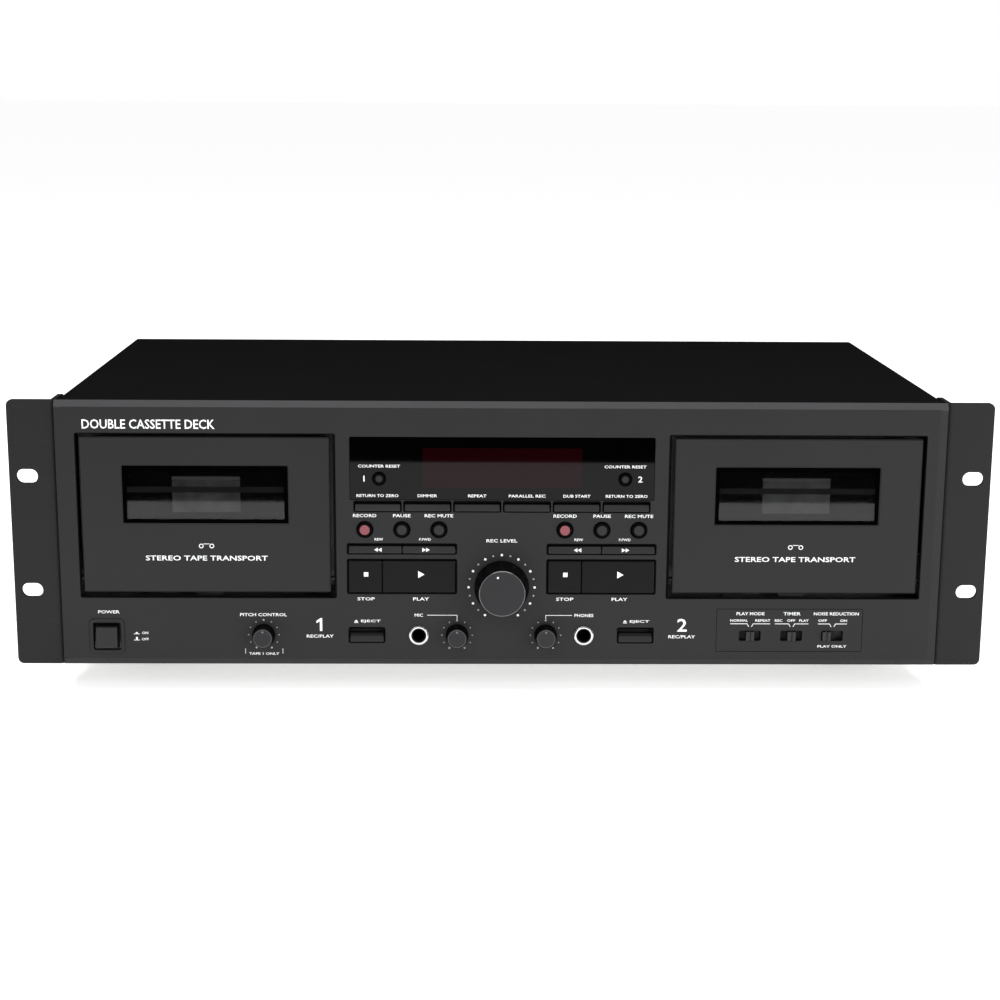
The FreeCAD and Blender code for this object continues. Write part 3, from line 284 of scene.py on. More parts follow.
@dataclass(frozen=True)
class Finish:
    """One surface finish: a clouded colour, a grain and a few scuffs."""

    name: str
    colour: Colour
    roughness: float
    metallic: float = 0.0
    mottle: float = 0.10
    grain: float = 1400.0
    grain_depth: float = 0.010
    stretch: Colour = (1.0, 1.0, 1.0)
    scuffs: float = 0.12
    specular: float = 0.5
    alpha: float = 1.0
    handling: float = 0.05
    glow: float = 0.0
    zones: tuple[tuple[Zone, "Finish"], ...] = ()

    def clouded(self, tree: ShaderTree) -> bpy.types.NodeSocket:
        """The colour with its soft clouds, speckle and scuffs.

        Args:
            tree: The material's tree.

        Returns:
            The colour's socket.
        """
        dark = tuple(part * (1 - self.mottle) for part in self.colour)
        light = tuple(min(1.0, part * (1 + self.mottle)) for part in self.colour)
        clouds = tree.spread(tree.noise(CLOUDS_PER_METRE, self.stretch), 0.0, 1.0)
        speckle = tree.spread(tree.noise(self.grain * 0.6, self.stretch), 0.0, 1.0)
        soft = tree.blend(tree.slide(0.5, clouds, speckle), dark, light)
        worn = tuple(min(1.0, part * 1.5 + 0.02) for part in self.colour)
        marks = tree.above(tree.noise(SCUFFS_PER_METRE, (1.0, 1.0, 5.0), 6.0), 0.66, 0.72)
        return tree.blend(tree.maths("MULTIPLY", marks, self.scuffs), soft, worn)

    def matted(self, tree: ShaderTree) -> bpy.types.NodeSocket:
        """The roughness with its handled patches.

        Args:
            tree: The material's tree.

        Returns:
            The roughness's socket.
        """
        low = max(0.02, self.roughness - self.handling)
        high = min(1.0, self.roughness + self.handling)
        return tree.spread(tree.noise(PATCHES_PER_METRE, self.stretch, 5.0), low, high)

    def relief(self, tree: ShaderTree) -> None:
        """Press the grain into the surface, as bump.

        Args:
            tree: The material's tree.
        """
        bump = tree.tree.nodes.new("ShaderNodeBump")
        bump.inputs["Strength"].default_value = 0.6
        bump.inputs["Distance"].default_value = self.grain_depth * MM
        tree.feed(bump.inputs["Height"], tree.noise(self.grain, self.stretch, 4.0))
        tree.feed(tree.shader.inputs["Normal"], bump.outputs["Normal"])

    def build(self) -> bpy.types.Material:
        """Make the material.

        Returns:
            The finished material, with its zones' finishes mixed in.
        """
        tree = ShaderTree(self.name)
        colour, roughness = self.clouded(tree), self.matted(tree)
        metallic: object = self.metallic
        for zone, other in self.zones:
            mask = zone.mask(tree)
            colour = tree.blend(mask, colour, other.clouded(tree))
            roughness = tree.slide(mask, roughness, other.matted(tree))
            if other.metallic != self.metallic or metallic != self.metallic:
                metallic = tree.slide(mask, metallic, other.metallic)
        shader = tree.shader
        tree.feed(shader.inputs["Base Color"], colour)
        tree.feed(shader.inputs["Roughness"], roughness)
        tree.feed(shader.inputs["Metallic"], metallic)
        shader.inputs["Specular IOR Level"].default_value = self.specular
        shader.inputs["Emission Color"].default_value = (1.0, 1.0, 1.0, 1.0)
        shader.inputs["Emission Strength"].default_value = self.glow
        shader.inputs["Alpha"].default_value = self.alpha
        self.relief(tree)
        tree.material.use_backface_culling = False
        return tree.material


@dataclass
class FinishBook:
    """Every finish, by the name of the slot that it dresses."""

    made: dict[str, bpy.types.Material] = field(default_factory=dict)

    def finishes(self) -> list[Finish]:
        """The plain finishes, for slots and loose pieces that have one material.

        Returns:
            The finishes.
        """
        steel = dict(metallic=1.0, mottle=0.07, stretch=(0.08, 1.0, 1.0), grain=2600.0)
        return [
            Finish("cover_paint", (0.0011, 0.0011, 0.0012), 0.55, grain=1500.0, grain_depth=0.03, scuffs=0.03,
                   specular=0.10, handling=0.015),
            Finish("ear_paint", (0.0112, 0.0112, 0.0119), 0.52, mottle=0.06, grain=1800.0, grain_depth=0.02,
                   specular=0.20),
            Finish("rear_paint", (0.006, 0.006, 0.0065), 0.52, grain_depth=0.02, scuffs=0.05, handling=0.02),
            self.door_plastic(),
            Finish("spindle_plastic", (0.52, 0.52, 0.50), 0.42, mottle=0.04),
            Finish("screw_black", (0.022, 0.022, 0.024), 0.36, metallic=0.9, scuffs=0.4),
            # holder_metal is steel darkened far below bare steel: painted shade, so the holders and their
            # hinge pins stay dark in the door gaps.
            Finish("holder_metal", (0.055, 0.055, 0.058), 0.42, **steel),
            Finish("plated_steel", (0.50, 0.50, 0.48), 0.36, **steel),
            Finish("smoked_window", (0.0015, 0.0015, 0.0018), 0.02, mottle=0.3, grain=300.0,
                   grain_depth=0.00002, scuffs=0.0, specular=0.58, alpha=0.60, handling=0.01),
            Finish("legend_ink", (0.78, 0.79, 0.79), 0.55, mottle=0.03, grain=3000.0, scuffs=0.0),
            Finish("dim_ink", (0.30, 0.31, 0.31), 0.55, mottle=0.04, grain=3000.0, scuffs=0.0),
            Finish("window_black", (0.0006, 0.0006, 0.0008), 0.60, mottle=0.2, scuffs=0.0, specular=0.0),
            # ink_and_shade_black is near black: ink for the switch box's line, and painted shade for the gaps
            # round the openings, the doors and the round keys' caps.
            Finish("ink_and_shade_black", (0.0008, 0.0008, 0.0010), 0.70, mottle=0.2, scuffs=0.0, specular=0.05),
            Finish("rail_grey", (0.15, 0.15, 0.158), 0.50, mottle=0.15, specular=0.3),
            Finish("well_black", (0.003, 0.003, 0.0034), 0.55, grain_depth=0.02, specular=0.2),
            Finish("foil_silver", (0.50, 0.51, 0.53), 0.30, metallic=1.0, mottle=0.35, grain=420.0,
                   grain_depth=0.12, scuffs=0.5),
            # highlight_grey and sight_painted_light are painted light behind the window's sight: a light grey
            # highlight bar along its top, and a pale mottled sheet for the lit well and glints seen through
            # it.
            Finish("highlight_grey", (0.78, 0.78, 0.79), 0.45, mottle=0.2),
            Finish("sight_painted_light", (0.66, 0.665, 0.68), 0.50, mottle=0.5, grain=260.0, specular=0.2,
                   alpha=0.88),
            # The knob edge rings: lighter and shinier than the knob faces, partly painted highlight.
            Finish("rim_highlight_metal", (0.13, 0.13, 0.135), 0.22, metallic=0.9, mottle=0.04),
            Finish("rim_highlight_grey", (0.045, 0.045, 0.047), 0.40, mottle=0.05, specular=0.3),
            Finish("pointer_ink", (0.12, 0.12, 0.125), 0.55, mottle=0.05),
            Finish("contact_gold", (0.75, 0.55, 0.25), 0.28, metallic=1.0, mottle=0.08),
            Finish("jack_red", (0.42, 0.02, 0.025), 0.42, grain=1800.0),
            Finish("jack_white", (0.62, 0.62, 0.60), 0.42, grain=1800.0),
        ]

    def zoned(self) -> list[Finish]:
        """The finishes of nodes that hold more than one material.

        Returns:
            The finishes, each with its zones.
        """
        nickel = Finish("nickel", (0.72, 0.72, 0.70), 0.22, metallic=1.0, mottle=0.05)
        steel = Finish("steel", (0.42, 0.42, 0.42), 0.34, metallic=1.0, mottle=0.08)
        black = Finish("black", (0.010, 0.010, 0.011), 0.45)
        rubber = Finish("rubber", (0.014, 0.014, 0.015), 0.75, grain_depth=0.05)
        return [
            self.display_acrylic(),
            self.knob_plastic(),
            *self.key_plastics(),
            self.panel_paint(),
            Finish("socket_nickel", nickel.colour, 0.22, metallic=1.0, mottle=0.05,
                   zones=self.socket_zones(black)),
            Finish("inlet_plastic", (0.011, 0.011, 0.012), 0.42, zones=self.blade_zones(nickel)),
            Finish("foot_rubber", (0.018, 0.018, 0.019), 0.55, zones=self.foot_zones(rubber)),
            Finish("mechanism_steel", (0.16, 0.16, 0.165), 0.42, metallic=0.8, mottle=0.08,
                   zones=self.mechanism_zones(steel, rubber)),
            Finish("flywheel_metal", (0.46, 0.45, 0.43), 0.30, metallic=1.0, mottle=0.06,
                   zones=self.capstan_zones(nickel)),
            Finish("transformer_iron", (0.10, 0.095, 0.09), 0.50, metallic=0.6, stretch=(1.0, 14.0, 1.0),
                   grain=500.0, grain_depth=0.08, zones=self.coil_zones()),
            Finish("board_laminate", (0.035, 0.105, 0.045), 0.42, mottle=0.12,
                   zones=self.board_zones(steel, black)),
        ]

    def display_acrylic(self) -> Finish:
        """Black acrylic with the red filter in front of the counter tube.

        Returns:
            The display window's finish.
        """
        low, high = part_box("display_window")
        width, height = high.x - low.x, high.z - low.z
        red = Finish("red_filter", (0.0062, 0.0004, 0.0008), 0.02, mottle=0.10, scuffs=0.0, handling=0.01)
        filter_zone = Zone(
            (-width * 0.262, low.y - MM, low.z + height * 0.19),
            (width * 0.262, high.y + MM, low.z + height * 0.83),
        )
        return Finish("display_acrylic", (0.0004, 0.0004, 0.0006), 0.02, mottle=0.15, grain=250.0,
                      grain_depth=0.00002, scuffs=0.0, specular=0.16, handling=0.01,
                      zones=((filter_zone, red),))

    def panel_paint(self) -> Finish:
        """The panel's paint, with painted shade on the edges of its openings and a painted highlight along
        its top bevel.

        Returns:
            The panel's finish.
        """
        low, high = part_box(PANEL)
        edge, bevel = 4.2 * MM, 3.4 * MM
        # Painted shade: near black on the walls of the panel's openings, where shade falls.
        inside = Zone((low.x + edge, low.y + 0.9 * MM, low.z + edge),
                      (high.x - edge, high.y + MM, high.z - edge))
        # Painted highlight: a paler band along the top bevel.
        crest = Zone((low.x - MM, low.y + 0.1 * MM, high.z - bevel),
                     (high.x + MM, low.y + 7.0 * MM, high.z + MM))
        dark = Finish("panel_painted_shade", (0.0020, 0.0020, 0.0022), 0.70, scuffs=0.0, specular=0.05)
        pale = Finish("panel_painted_highlight", (0.036, 0.036, 0.038), 0.50, scuffs=0.05)
        return Finish("panel_paint", (0.0146, 0.0146, 0.0158), 0.50, mottle=0.06, grain=2200.0, scuffs=0.05,
                      specular=0.22, zones=((crest, pale), (inside, dark)))

    def behind_face(self) -> Zone:
        """What lies inside the panel, past the first hair of its thickness, which gets painted shade.

        Returns:
            The zone.
        """
        reach = 0.25
        face = panel_face()
        return Zone((-reach, face + 0.8 * MM, 0.0), (reach, face + 40 * MM, reach))

    def door_plastic(self) -> Finish:
        """The doors' plastic, with painted shade on the edges that lie inside the panel.

        Returns:
            The doors' finish.
        """
        # Painted shade: near black on the door's edges inside the panel.
        inside = self.behind_face()
        dark = Finish("door_painted_shade", (0.0012, 0.0012, 0.0014), 0.70, scuffs=0.0, specular=0.05)
        return Finish("door_plastic", (0.0138, 0.0139, 0.0142), 0.47, mottle=0.06, grain=2600.0, scuffs=0.06,
                      specular=0.22, zones=((inside, dark),))

    def key_plastics(self) -> list[Finish]:
        """The keys' colours, all of them with painted shade where they lie inside the panel.

        Returns:
            The keys' and the sliders' finishes.
        """
        # Painted shade: near black where the keys lie inside the panel.
        dark = Finish("key_painted_shade", (0.0010, 0.0010, 0.0012), 0.70, scuffs=0.0, specular=0.05)
        skin = dict(grain=2400.0, zones=((self.behind_face(), dark),))
        return [
            Finish("key_plastic", (0.0170, 0.0170, 0.0182), 0.44, specular=0.24, **skin),
            Finish("play_key_plastic", (0.0032, 0.0033, 0.0035), 0.44, scuffs=0.06, specular=0.15, **skin),
            Finish("record_key_plastic", (0.21, 0.055, 0.068), 0.40, specular=0.3, **skin),
            Finish("power_key_plastic", (0.0180, 0.0180, 0.0194), 0.44, scuffs=0.15, specular=0.22, **skin),
            Finish("slider_plastic", (0.0060, 0.0060, 0.0065), 0.45, **skin),
        ]

    def knob_plastic(self) -> Finish:
        """Grey knob faces on black skirts.

        Returns:
            The knobs' finish.
        """
        face = Finish("knob_face", (0.0260, 0.0260, 0.0275), 0.42, grain=2400.0, scuffs=0.10, specular=0.22)
        zones = []
        for knob in KNOBS:
            low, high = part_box(knob)
            slab = Zone((low.x - MM, low.y - MM, low.z - MM), (high.x + MM, low.y + 0.35 * MM, high.z + MM))
            zones.append((slab, face))
        return Finish("knob_plastic", (0.0012, 0.0012, 0.0014), 0.55, grain=2400.0, specular=0.08,
                      zones=tuple(zones))

    def socket_zones(self, black: Finish) -> tuple[tuple[Zone, Finish], ...]:
        """The plastic bodies of the sockets, front and rear.

        Args:
            black: Their finish.

        Returns:
            The zones.
        """
        face = panel_face()
        low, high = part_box("front_jacks")
        front = Zone((low.x - MM, face + 0.3 * MM, low.z - MM), (high.x + MM, high.y + MM, high.z + MM))
        low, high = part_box("phono_jacks")
        plate_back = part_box("rear_panel")[1].y + 2.05 * MM
        rear = Zone((low.x - MM, low.y - MM, low.z - MM), (high.x + MM, plate_back, high.z + MM))
        return ((front, black), (rear, black))

    def blade_zones(self, nickel: Finish) -> tuple[tuple[Zone, Finish], ...]:
        """The three blades inside the mains inlet.

        Args:
            nickel: Their finish.

        Returns:
            The zone.
        """
        low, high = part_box("mains_inlet")
        middle = (low + high) / 2
        inner = Zone(
            (middle.x - 8.4 * MM, low.y + 2.2 * MM, middle.z - 2.4 * MM),
            (middle.x + 8.4 * MM, high.y - 2.5 * MM, middle.z + 6.4 * MM),
        )
        return ((inner, nickel),)

    def foot_zones(self, rubber: Finish) -> tuple[tuple[Zone, Finish], ...]:
        """The soft pads under the feet."""
        low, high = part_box("feet")
        return ((Zone(tuple(low - Vector((MM, MM, MM))), (high.x + MM, high.y + MM, 2.02 * MM)), rubber),)

    def mechanism_zones(self, steel: Finish, rubber: Finish) -> tuple[tuple[Zone, Finish], ...]:
        """The head carriages' bright heads and rubber rollers, and the motors.

        Args:
            steel: The heads' and the motors' finish.
            rubber: The rollers' finish.

        Returns:
            The zones.
        """
        zones = []
        for side in Side:
            low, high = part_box(f"head_carriage_{side.value}")
            heads = Zone((low.x, low.y - MM, high.z - 8 * MM),
                         (high.x - 14 * MM, high.y - 2 * MM, high.z + MM))
            zones.append((heads, steel))
            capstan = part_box(f"capstan_flywheel_{side.value}")
            middle = (capstan[0].x + capstan[1].x) / 2
            up = low.z + 12.2 * MM
            tyre = Zone(
                (middle - 5.2 * MM, low.y + 0.3 * MM, up - 5.2 * MM),
                (middle + 5.2 * MM, low.y + 7.7 * MM, up + 5.2 * MM),
                rod=True,
            )
            zones.append((tyre, rubber))
        low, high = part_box("mechanism_frames")
        motors = Zone((low.x - MM, low.y + 18.5 * MM, low.z - MM), tuple(high + Vector((MM, MM, MM))))
        return (*zones, (motors, steel))

    def capstan_zones(self, nickel: Finish) -> tuple[tuple[Zone, Finish], ...]:
        """The ground capstan shafts.

        Args:
            nickel: Their finish.

        Returns:
            The zones.
        """
        zones = []
        for side in Side:
            low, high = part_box(f"capstan_flywheel_{side.value}")
            middle = (low + high) / 2
            reach = Vector((1.5 * MM, 0, 1.5 * MM))
            ends = Vector((0, MM, 0))
            start, stop = Vector((middle.x, low.y, middle.z)), Vector((middle.x, high.y, middle.z))
            zones.append((Zone(tuple(start - reach - ends), tuple(stop + reach + ends), rod=True), nickel))
        return tuple(zones)

    def coil_zones(self) -> tuple[tuple[Zone, Finish], ...]:
        """The taped coil, in front of the transformer's core and behind it.

        Returns:
            The zones.
        """
        tape = Finish("coil_tape", (0.50, 0.36, 0.07), 0.45, mottle=0.15, stretch=(1.0, 1.0, 8.0),
                      grain=300.0)
        low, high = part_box("power_transformer")
        quarter = (high.y - low.y) / 4
        rise = Vector((0, 0, 3 * MM))
        front = Zone(tuple(low + rise), (high.x, low.y + quarter - 0.05 * MM, high.z))
        back = Zone((low.x, high.y - quarter + 0.05 * MM, low.z + 3 * MM), tuple(high))
        return ((front, tape), (back, tape))

    def board_zones(self, steel: Finish, black: Finish) -> tuple[tuple[Zone, Finish], ...]:
        """The switches, controls, capacitors and the cooling fin on the boards.

        Args:
            steel: The fin's finish.
            black: The switches' and the controls' finish.

        Returns:
            The zones.
        """
        low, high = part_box("circuit_boards")
        face = panel_face()
        front = Zone((low.x - MM, low.y - MM, low.z - MM), (high.x + MM, face + 13.95 * MM, high.z + MM))
        deck = low.z + 8.7 * MM
        cans = Zone((-0.100, face + 204.5 * MM, deck), (0.035, high.y + MM, high.z))
        fin = Zone((0.058, face + 199.5 * MM, deck), (0.132, face + 203.5 * MM, high.z))
        sleeve = Finish("can_sleeve", (0.012, 0.016, 0.05), 0.35)
        return ((front, black), (cans, sleeve), (fin, steel))

    def build(self) -> None:
        """Make every finish and dress the frame's nodes by their slots."""
        for finish in [*self.finishes(), *self.zoned()]:
            self.made[finish.name] = finish.build()
        for part in frame["record"]["subparts"]:
            node = frame["nodes"][part["node"]]
            for slot in node.material_slots:
                slot.material = self.made[part["material_slot"]]
        LOG.info("dressed %d frame nodes in %d finishes", len(frame["nodes"]), len(self.made))


# Mesh work


def middle_of(node: str) -> Vector:
    """The middle of a frame node's box at rest."""
    low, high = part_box(node)
    return (low + high) / 2


def rounded(low: Point, high: Point, radius: float, steps: int = 5) -> Outline:
    """A rectangle with round corners, anticlockwise as seen from the front.

    Args:
        low: Its lowest corner.
        high: Its highest corner.
        radius: The corners' radius.
        steps: How many straight pieces a corner has.

    Returns:
        The outline's points.
    """
    centres = [
        (high[0] - radius, high[1] - radius, 0),
        (low[0] + radius, high[1] - radius, 90),
        (low[0] + radius, low[1] + radius, 180),
        (high[0] - radius, low[1] + radius, 270),
    ]
    points = []
    for across, up, turn in centres:
        for step in range(steps + 1):
            angle = math.radians(turn + 90 * step / steps)
            points.append((across + radius * math.cos(angle), up + radius * math.sin(angle)))
    return points


def disc(centre: Point, radius: float, steps: int = 32) -> Outline:
    """A circle's outline, anticlockwise as seen from the front."""
    turns = [2 * math.pi * step / steps for step in range(steps)]
    return [(centre[0] + radius * math.cos(turn), centre[1] + radius * math.sin(turn)) for turn in turns]


def stroke(points: Sequence[Point], width: float) -> Outline:
    """A line of one width through some points, mitred at its corners.

    Args:
        points: The line's points, which don't close.
        width: The line's width.

    Returns:
        Its outline.
    """
    left, right = [], []
    for number, point in enumerate(points):
        here = Vector(point)
        before = Vector(points[max(number - 1, 0)])
        after = Vector(points[min(number + 1, len(points) - 1)])
        inward = (here - before).normalized() if number else (after - here).normalized()
        outward = (after - here).normalized() if number < len(points) - 1 else inward
        along = (inward + outward).normalized()
        normal = Vector((-along.y, along.x))
        reach = width / 2 / max(0.3, normal.dot(Vector((-inward.y, inward.x))))
        left.append(tuple(here + normal * reach))
        right.append(tuple(here - normal * reach))
    return [*right, *reversed(left)]


class Solid:
    """A mesh of closed shells while it is put together."""

    def __init__(self) -> None:
        """Start with no faces."""
        self.mesh = bmesh.new()

    def loft(self, loops: Sequence[Sequence[Vector]]) -> "Solid":
        """Join loops of points, one after another, and cap both ends.

        Args:
            loops: The loops, of equally many points.

        Returns:
            This solid.
        """
        rings = [[self.mesh.verts.new(point) for point in loop] for loop in loops]
        count = len(rings[0])
        for one, other in zip(rings, rings[1:]):
            for number in range(count):
                after = (number + 1) % count
                self.mesh.faces.new((one[number], one[after], other[after], other[number]))
        self.mesh.faces.new(rings[0])
        self.mesh.faces.new(list(reversed(rings[-1])))
        return self

    def prism(self, outline: Sequence[Point], front: float, back: float) -> "Solid":
        """A flat outline given depth, from its front y to its back y."""
        return self.loft([[Vector((x, y, z)) for x, z in outline] for y in (front, back)])

    def block(self, low: Sequence[float], high: Sequence[float]) -> "Solid":
        """A plain block that is part of a larger piece."""
        outline = [(low[0], low[2]), (high[0], low[2]), (high[0], high[2]), (low[0], high[2])]
        return self.prism(outline, low[1], high[1])

    def rim(self, outer: Sequence[Point], inner: Sequence[Point], front: float, back: float) -> "Solid":
        """A flat ring between two outlines.

        Args:
            outer: The outer outline.
            inner: The inner outline, of as many points.
            front: The ring's front y.
            back: Its back y.

        Returns:
            This solid.
        """
        loops = [(outer, back), (outer, front), (inner, front), (inner, back)]
        rings = [[self.mesh.verts.new((x, y, z)) for x, z in outline] for outline, y in loops]
        return self.close_rings(rings)

    def close_rings(self, rings: Sequence[Sequence[bmesh.types.BMVert]]) -> "Solid":
        """Join rings of points in order, and the last to the first.

        Args:
            rings: The rings, of equally many points.

        Returns:
            This solid.
        """
        count = len(rings[0])
        for one, other in zip(rings, [*rings[1:], rings[0]]):
            for number in range(count):
                after = (number + 1) % count
                self.mesh.faces.new((one[number], one[after], other[after], other[number]))
        return self

    def turned(self, profile: Sequence[Point], centre: Point, steps: int = 48) -> "Solid":
        """A closed profile turned about an axis along y.

        Args:
            profile: Its points, each a radius and a y.
            centre: The axis's x and z.
            steps: How many faces go round.

        Returns:
            This solid.
        """
        rings = []
        for radius, along in profile:
            rings.append([self.mesh.verts.new((x, along, z)) for x, z in disc(centre, radius, steps)])
        return self.close_rings(rings)

    def domed(self, profile: Sequence[Point], centre: Point, steps: int = 32) -> "Solid":
        """An open profile of (radius, y) points turned about y, with flat ends."""
        loops = [[Vector((x, along, z)) for x, z in disc(centre, radius, steps)] for radius, along in profile]
        return self.loft(loops)

    def add(self, mesh: bpy.types.Mesh) -> "Solid":
        """Take in another mesh's faces and forget that mesh.

        Args:
            mesh: The other mesh.

        Returns:
            This solid.
        """
        self.mesh.from_mesh(mesh)
        bpy.data.meshes.remove(mesh)
        return self

    def settle(self, name: str, body: str, finish: bpy.types.Material, slot: str | None = None,
               smooth: bool = False) -> bpy.types.Object:
        """Turn the work into a piece that rides on a body.

        Args:
            name: The piece's name.
            body: The body that carries it.
            finish: Its material.
            slot: The record's slot whose finish it wears, if any; not used.
            smooth: Whether its round faces are shaded smooth.

        Returns:
            The piece's object, at the origin.
        """
        bmesh.ops.recalc_face_normals(self.mesh, faces=self.mesh.faces)
        mesh = bpy.data.meshes.new(name)
        self.mesh.to_mesh(mesh)
        self.mesh.free()
        mesh.materials.append(finish)
        if smooth:
            mesh.polygons.foreach_set("use_smooth", [True] * len(mesh.polygons))
            mesh.set_sharp_from_angle(angle=math.radians(35))
        piece = bpy.data.objects.new(name, mesh)
        bpy.context.scene.collection.objects.link(piece)
        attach(piece, body)
        LOG.info("%s rides on %s, %d faces", name, body, len(mesh.polygons))
        return piece


@dataclass
class Print:
    """Ink on a flat front or rear face: words, marks and lines."""

    face: float
    rear: bool = False
    solid: Solid = field(default_factory=Solid)

    def depths(self) -> tuple[float, float]:
        """The ink's front and back y."""
        side = -1 if self.rear else 1
        return self.face - side * INK_PROUD, self.face + side * INK_SUNK

    def words(self, text: str, across: float, up: float, cap: float, width: float | None = None) -> "Print":
        """One line of capitals, centred on a point.

        Args:
            text: The words.
            across: The middle's x.
            up: The middle's z.
            cap: The letters' height.
            width: The line's width; its natural width if not given.

        Returns:
            This print.
        """
        curve = bpy.data.curves.new("line", "FONT")
        curve.body = text
        curve.resolution_u = 2
        curve.offset = 0.012
        curve.extrude = 0.5
        line = bpy.data.objects.new("line", curve)
        bpy.context.scene.collection.objects.link(line)
        graph = bpy.context.evaluated_depsgraph_get()
        mesh = bpy.data.meshes.new_from_object(line.evaluated_get(graph))
        bpy.data.objects.remove(line)
        bpy.data.curves.remove(curve)
        places = [vertex.co for vertex in mesh.vertices]
        low = Vector((min(p.x for p in places), min(p.y for p in places)))
        high = Vector((max(p.x for p in places), max(p.y for p in places)))
        tall = cap / (high.y - low.y)
        wide = width / (high.x - low.x) if width else tall * 1.15
        front, back = self.depths()
        side = -1 if self.rear else 1
        for vertex in mesh.vertices:
            x = across + side * (vertex.co.x - (low.x + high.x) / 2) * wide
            z = up + (vertex.co.y - (low.y + high.y) / 2) * tall
            vertex.co = Vector((x, front if vertex.co.z > 0 else back, z))
        self.solid.add(mesh)
        return self

    def mark(self, outline: Sequence[Point]) -> "Print":
        """A filled shape."""
        self.solid.prism(outline, *self.depths())
        return self

    def line(self, points: Sequence[Point], width: float = 0.25 * MM) -> "Print":
        """A thin line."""
        return self.mark(stroke(points, width))

    def ring(self, outer: Outline, inner: Outline) -> "Print":
        """A closed line between two outlines."""
        self.solid.rim(outer, inner, *self.depths())
        return self

    def arrow(self, tip: Point, length: float) -> "Print":
        """A triangle that points to the right or to the left.

        Args:
            tip: Its tip.
            length: Its length, which is negative where it points to the left.

        Returns:
            This print.
        """
        base = tip[0] - length
        half = abs(length) * 0.58
        return self.mark([(tip[0], tip[1]), (base, tip[1] + half), (base, tip[1] - half)])


class GeometryTree:
    """A Geometry Nodes tree with named inputs, whose result becomes a plain mesh."""

    def __init__(self, name: str, inputs: Sequence[tuple[str, str]]) -> None:
        """Start a tree.

        Args:
            name: The tree's name.
            inputs: Each input's name and socket type.
        """
        self.tree = bpy.data.node_groups.new(name, "GeometryNodeTree")
        self.tree.interface.new_socket(name="Geometry", in_out="INPUT", socket_type="NodeSocketGeometry")
        for label, kind in inputs:
            self.tree.interface.new_socket(name=label, in_out="INPUT", socket_type=kind)
        self.tree.interface.new_socket(name="Geometry", in_out="OUTPUT", socket_type="NodeSocketGeometry")
        self.given = self.tree.nodes.new("NodeGroupInput")

    def node(self, kind: str, feeds: dict[str | int, object], **settings: object) -> bpy.types.Node:
        """Add a node.

        Args:
            kind: Its type's name.
            feeds: A socket or a value for each input, by its name or number.
            **settings: Its own settings.

        Returns:
            The node.
        """
        node = self.tree.nodes.new(kind)
        for key, value in settings.items():
            setattr(node, key, value)
        for key, value in feeds.items():
            if isinstance(value, bpy.types.NodeSocket):
                self.tree.links.new(value, node.inputs[key])
            else:
                node.inputs[key].default_value = value
        return node

    def maths(self, operation: str, first: object, second: object = 0.0) -> bpy.types.NodeSocket:
        """One Math node's result."""
        return self.node("ShaderNodeMath", {0: first, 1: second}, operation=operation).outputs[0]

    def close(self, instances: bpy.types.NodeSocket) -> None:
        """End the tree in Realize Instances and Set Material.

        Args:
            instances: The geometry to end with.
        """
        real = self.node("GeometryNodeRealizeInstances", {"Geometry": instances})
        painted = self.node(
            "GeometryNodeSetMaterial",
            {"Geometry": real.outputs[0], "Material": self.given.outputs["Material"]},
        )
        self.node("NodeGroupOutput", {0: painted.outputs[0]})

    def grow(self, values: dict[str, object], seed: bpy.types.Mesh | None = None) -> bpy.types.Mesh:
        """Run the tree once.

        Args:
            values: The value of each named input.
            seed: The mesh that the tree starts from, if it needs one.

        Returns:
            The evaluated result as a mesh of its own.
        """
        bed = bpy.data.objects.new("bed", seed or bpy.data.meshes.new("bed"))
        bpy.context.scene.collection.objects.link(bed)
        modifier = bed.modifiers.new("grow", "NODES")
        modifier.node_group = self.tree
        for item in self.tree.interface.items_tree:
            if item.in_out == "INPUT" and item.name in values:
                modifier[item.identifier] = values[item.name]
        graph = bpy.context.evaluated_depsgraph_get()
        mesh = bpy.data.meshes.new_from_object(bed.evaluated_get(graph))
        bpy.data.objects.remove(bed)
        return mesh


def on_arc(tree: GeometryTree) -> tuple[bpy.types.NodeSocket, bpy.types.NodeSocket]:
    """Points on an arc about y in a tree that has Count, Radius, First and Step.

    Args:
        tree: The tree to add them to.

    Returns:
        The points, and each point's angle clockwise from straight up.
    """
    given = tree.given.outputs
    index = tree.node("GeometryNodeInputIndex", {}).outputs[0]
    angle = tree.maths("ADD", given["First"], tree.maths("MULTIPLY", index, given["Step"]))
    across = tree.maths("MULTIPLY", given["Radius"], tree.maths("SINE", angle))
    up = tree.maths("MULTIPLY", given["Radius"], tree.maths("COSINE", angle))
    spot = tree.node("ShaderNodeCombineXYZ", {0: across, 2: up}).outputs[0]
    row = tree.node("GeometryNodeMeshLine", {"Count": given["Count"]}).outputs[0]
    placed = tree.node("GeometryNodeSetPosition", {"Geometry": row, "Position": spot}).outputs[0]
    return placed, angle


def dot_arc_tree() -> GeometryTree:
    """A tree that prints round dots on an arc.

    Returns:
        The tree.
    """
    inputs = [("Count", "NodeSocketInt"), ("Material", "NodeSocketMaterial")]
    inputs += [(name, "NodeSocketFloat") for name in ("Radius", "First", "Step", "Dot", "Depth")]
    tree = GeometryTree("dot_arc", inputs)
    given = tree.given.outputs
    placed = on_arc(tree)[0]
    dot = tree.node(
        "GeometryNodeMeshCylinder",
        {"Vertices": 14, "Radius": given["Dot"], "Depth": given["Depth"]},
    ).outputs["Mesh"]
    facing = tree.node("GeometryNodeTransform", {"Geometry": dot, "Rotation": (math.pi / 2, 0, 0)}).outputs[0]
    tree.close(tree.node("GeometryNodeInstanceOnPoints", {"Points": placed, "Instance": facing}).outputs[0])
    return tree


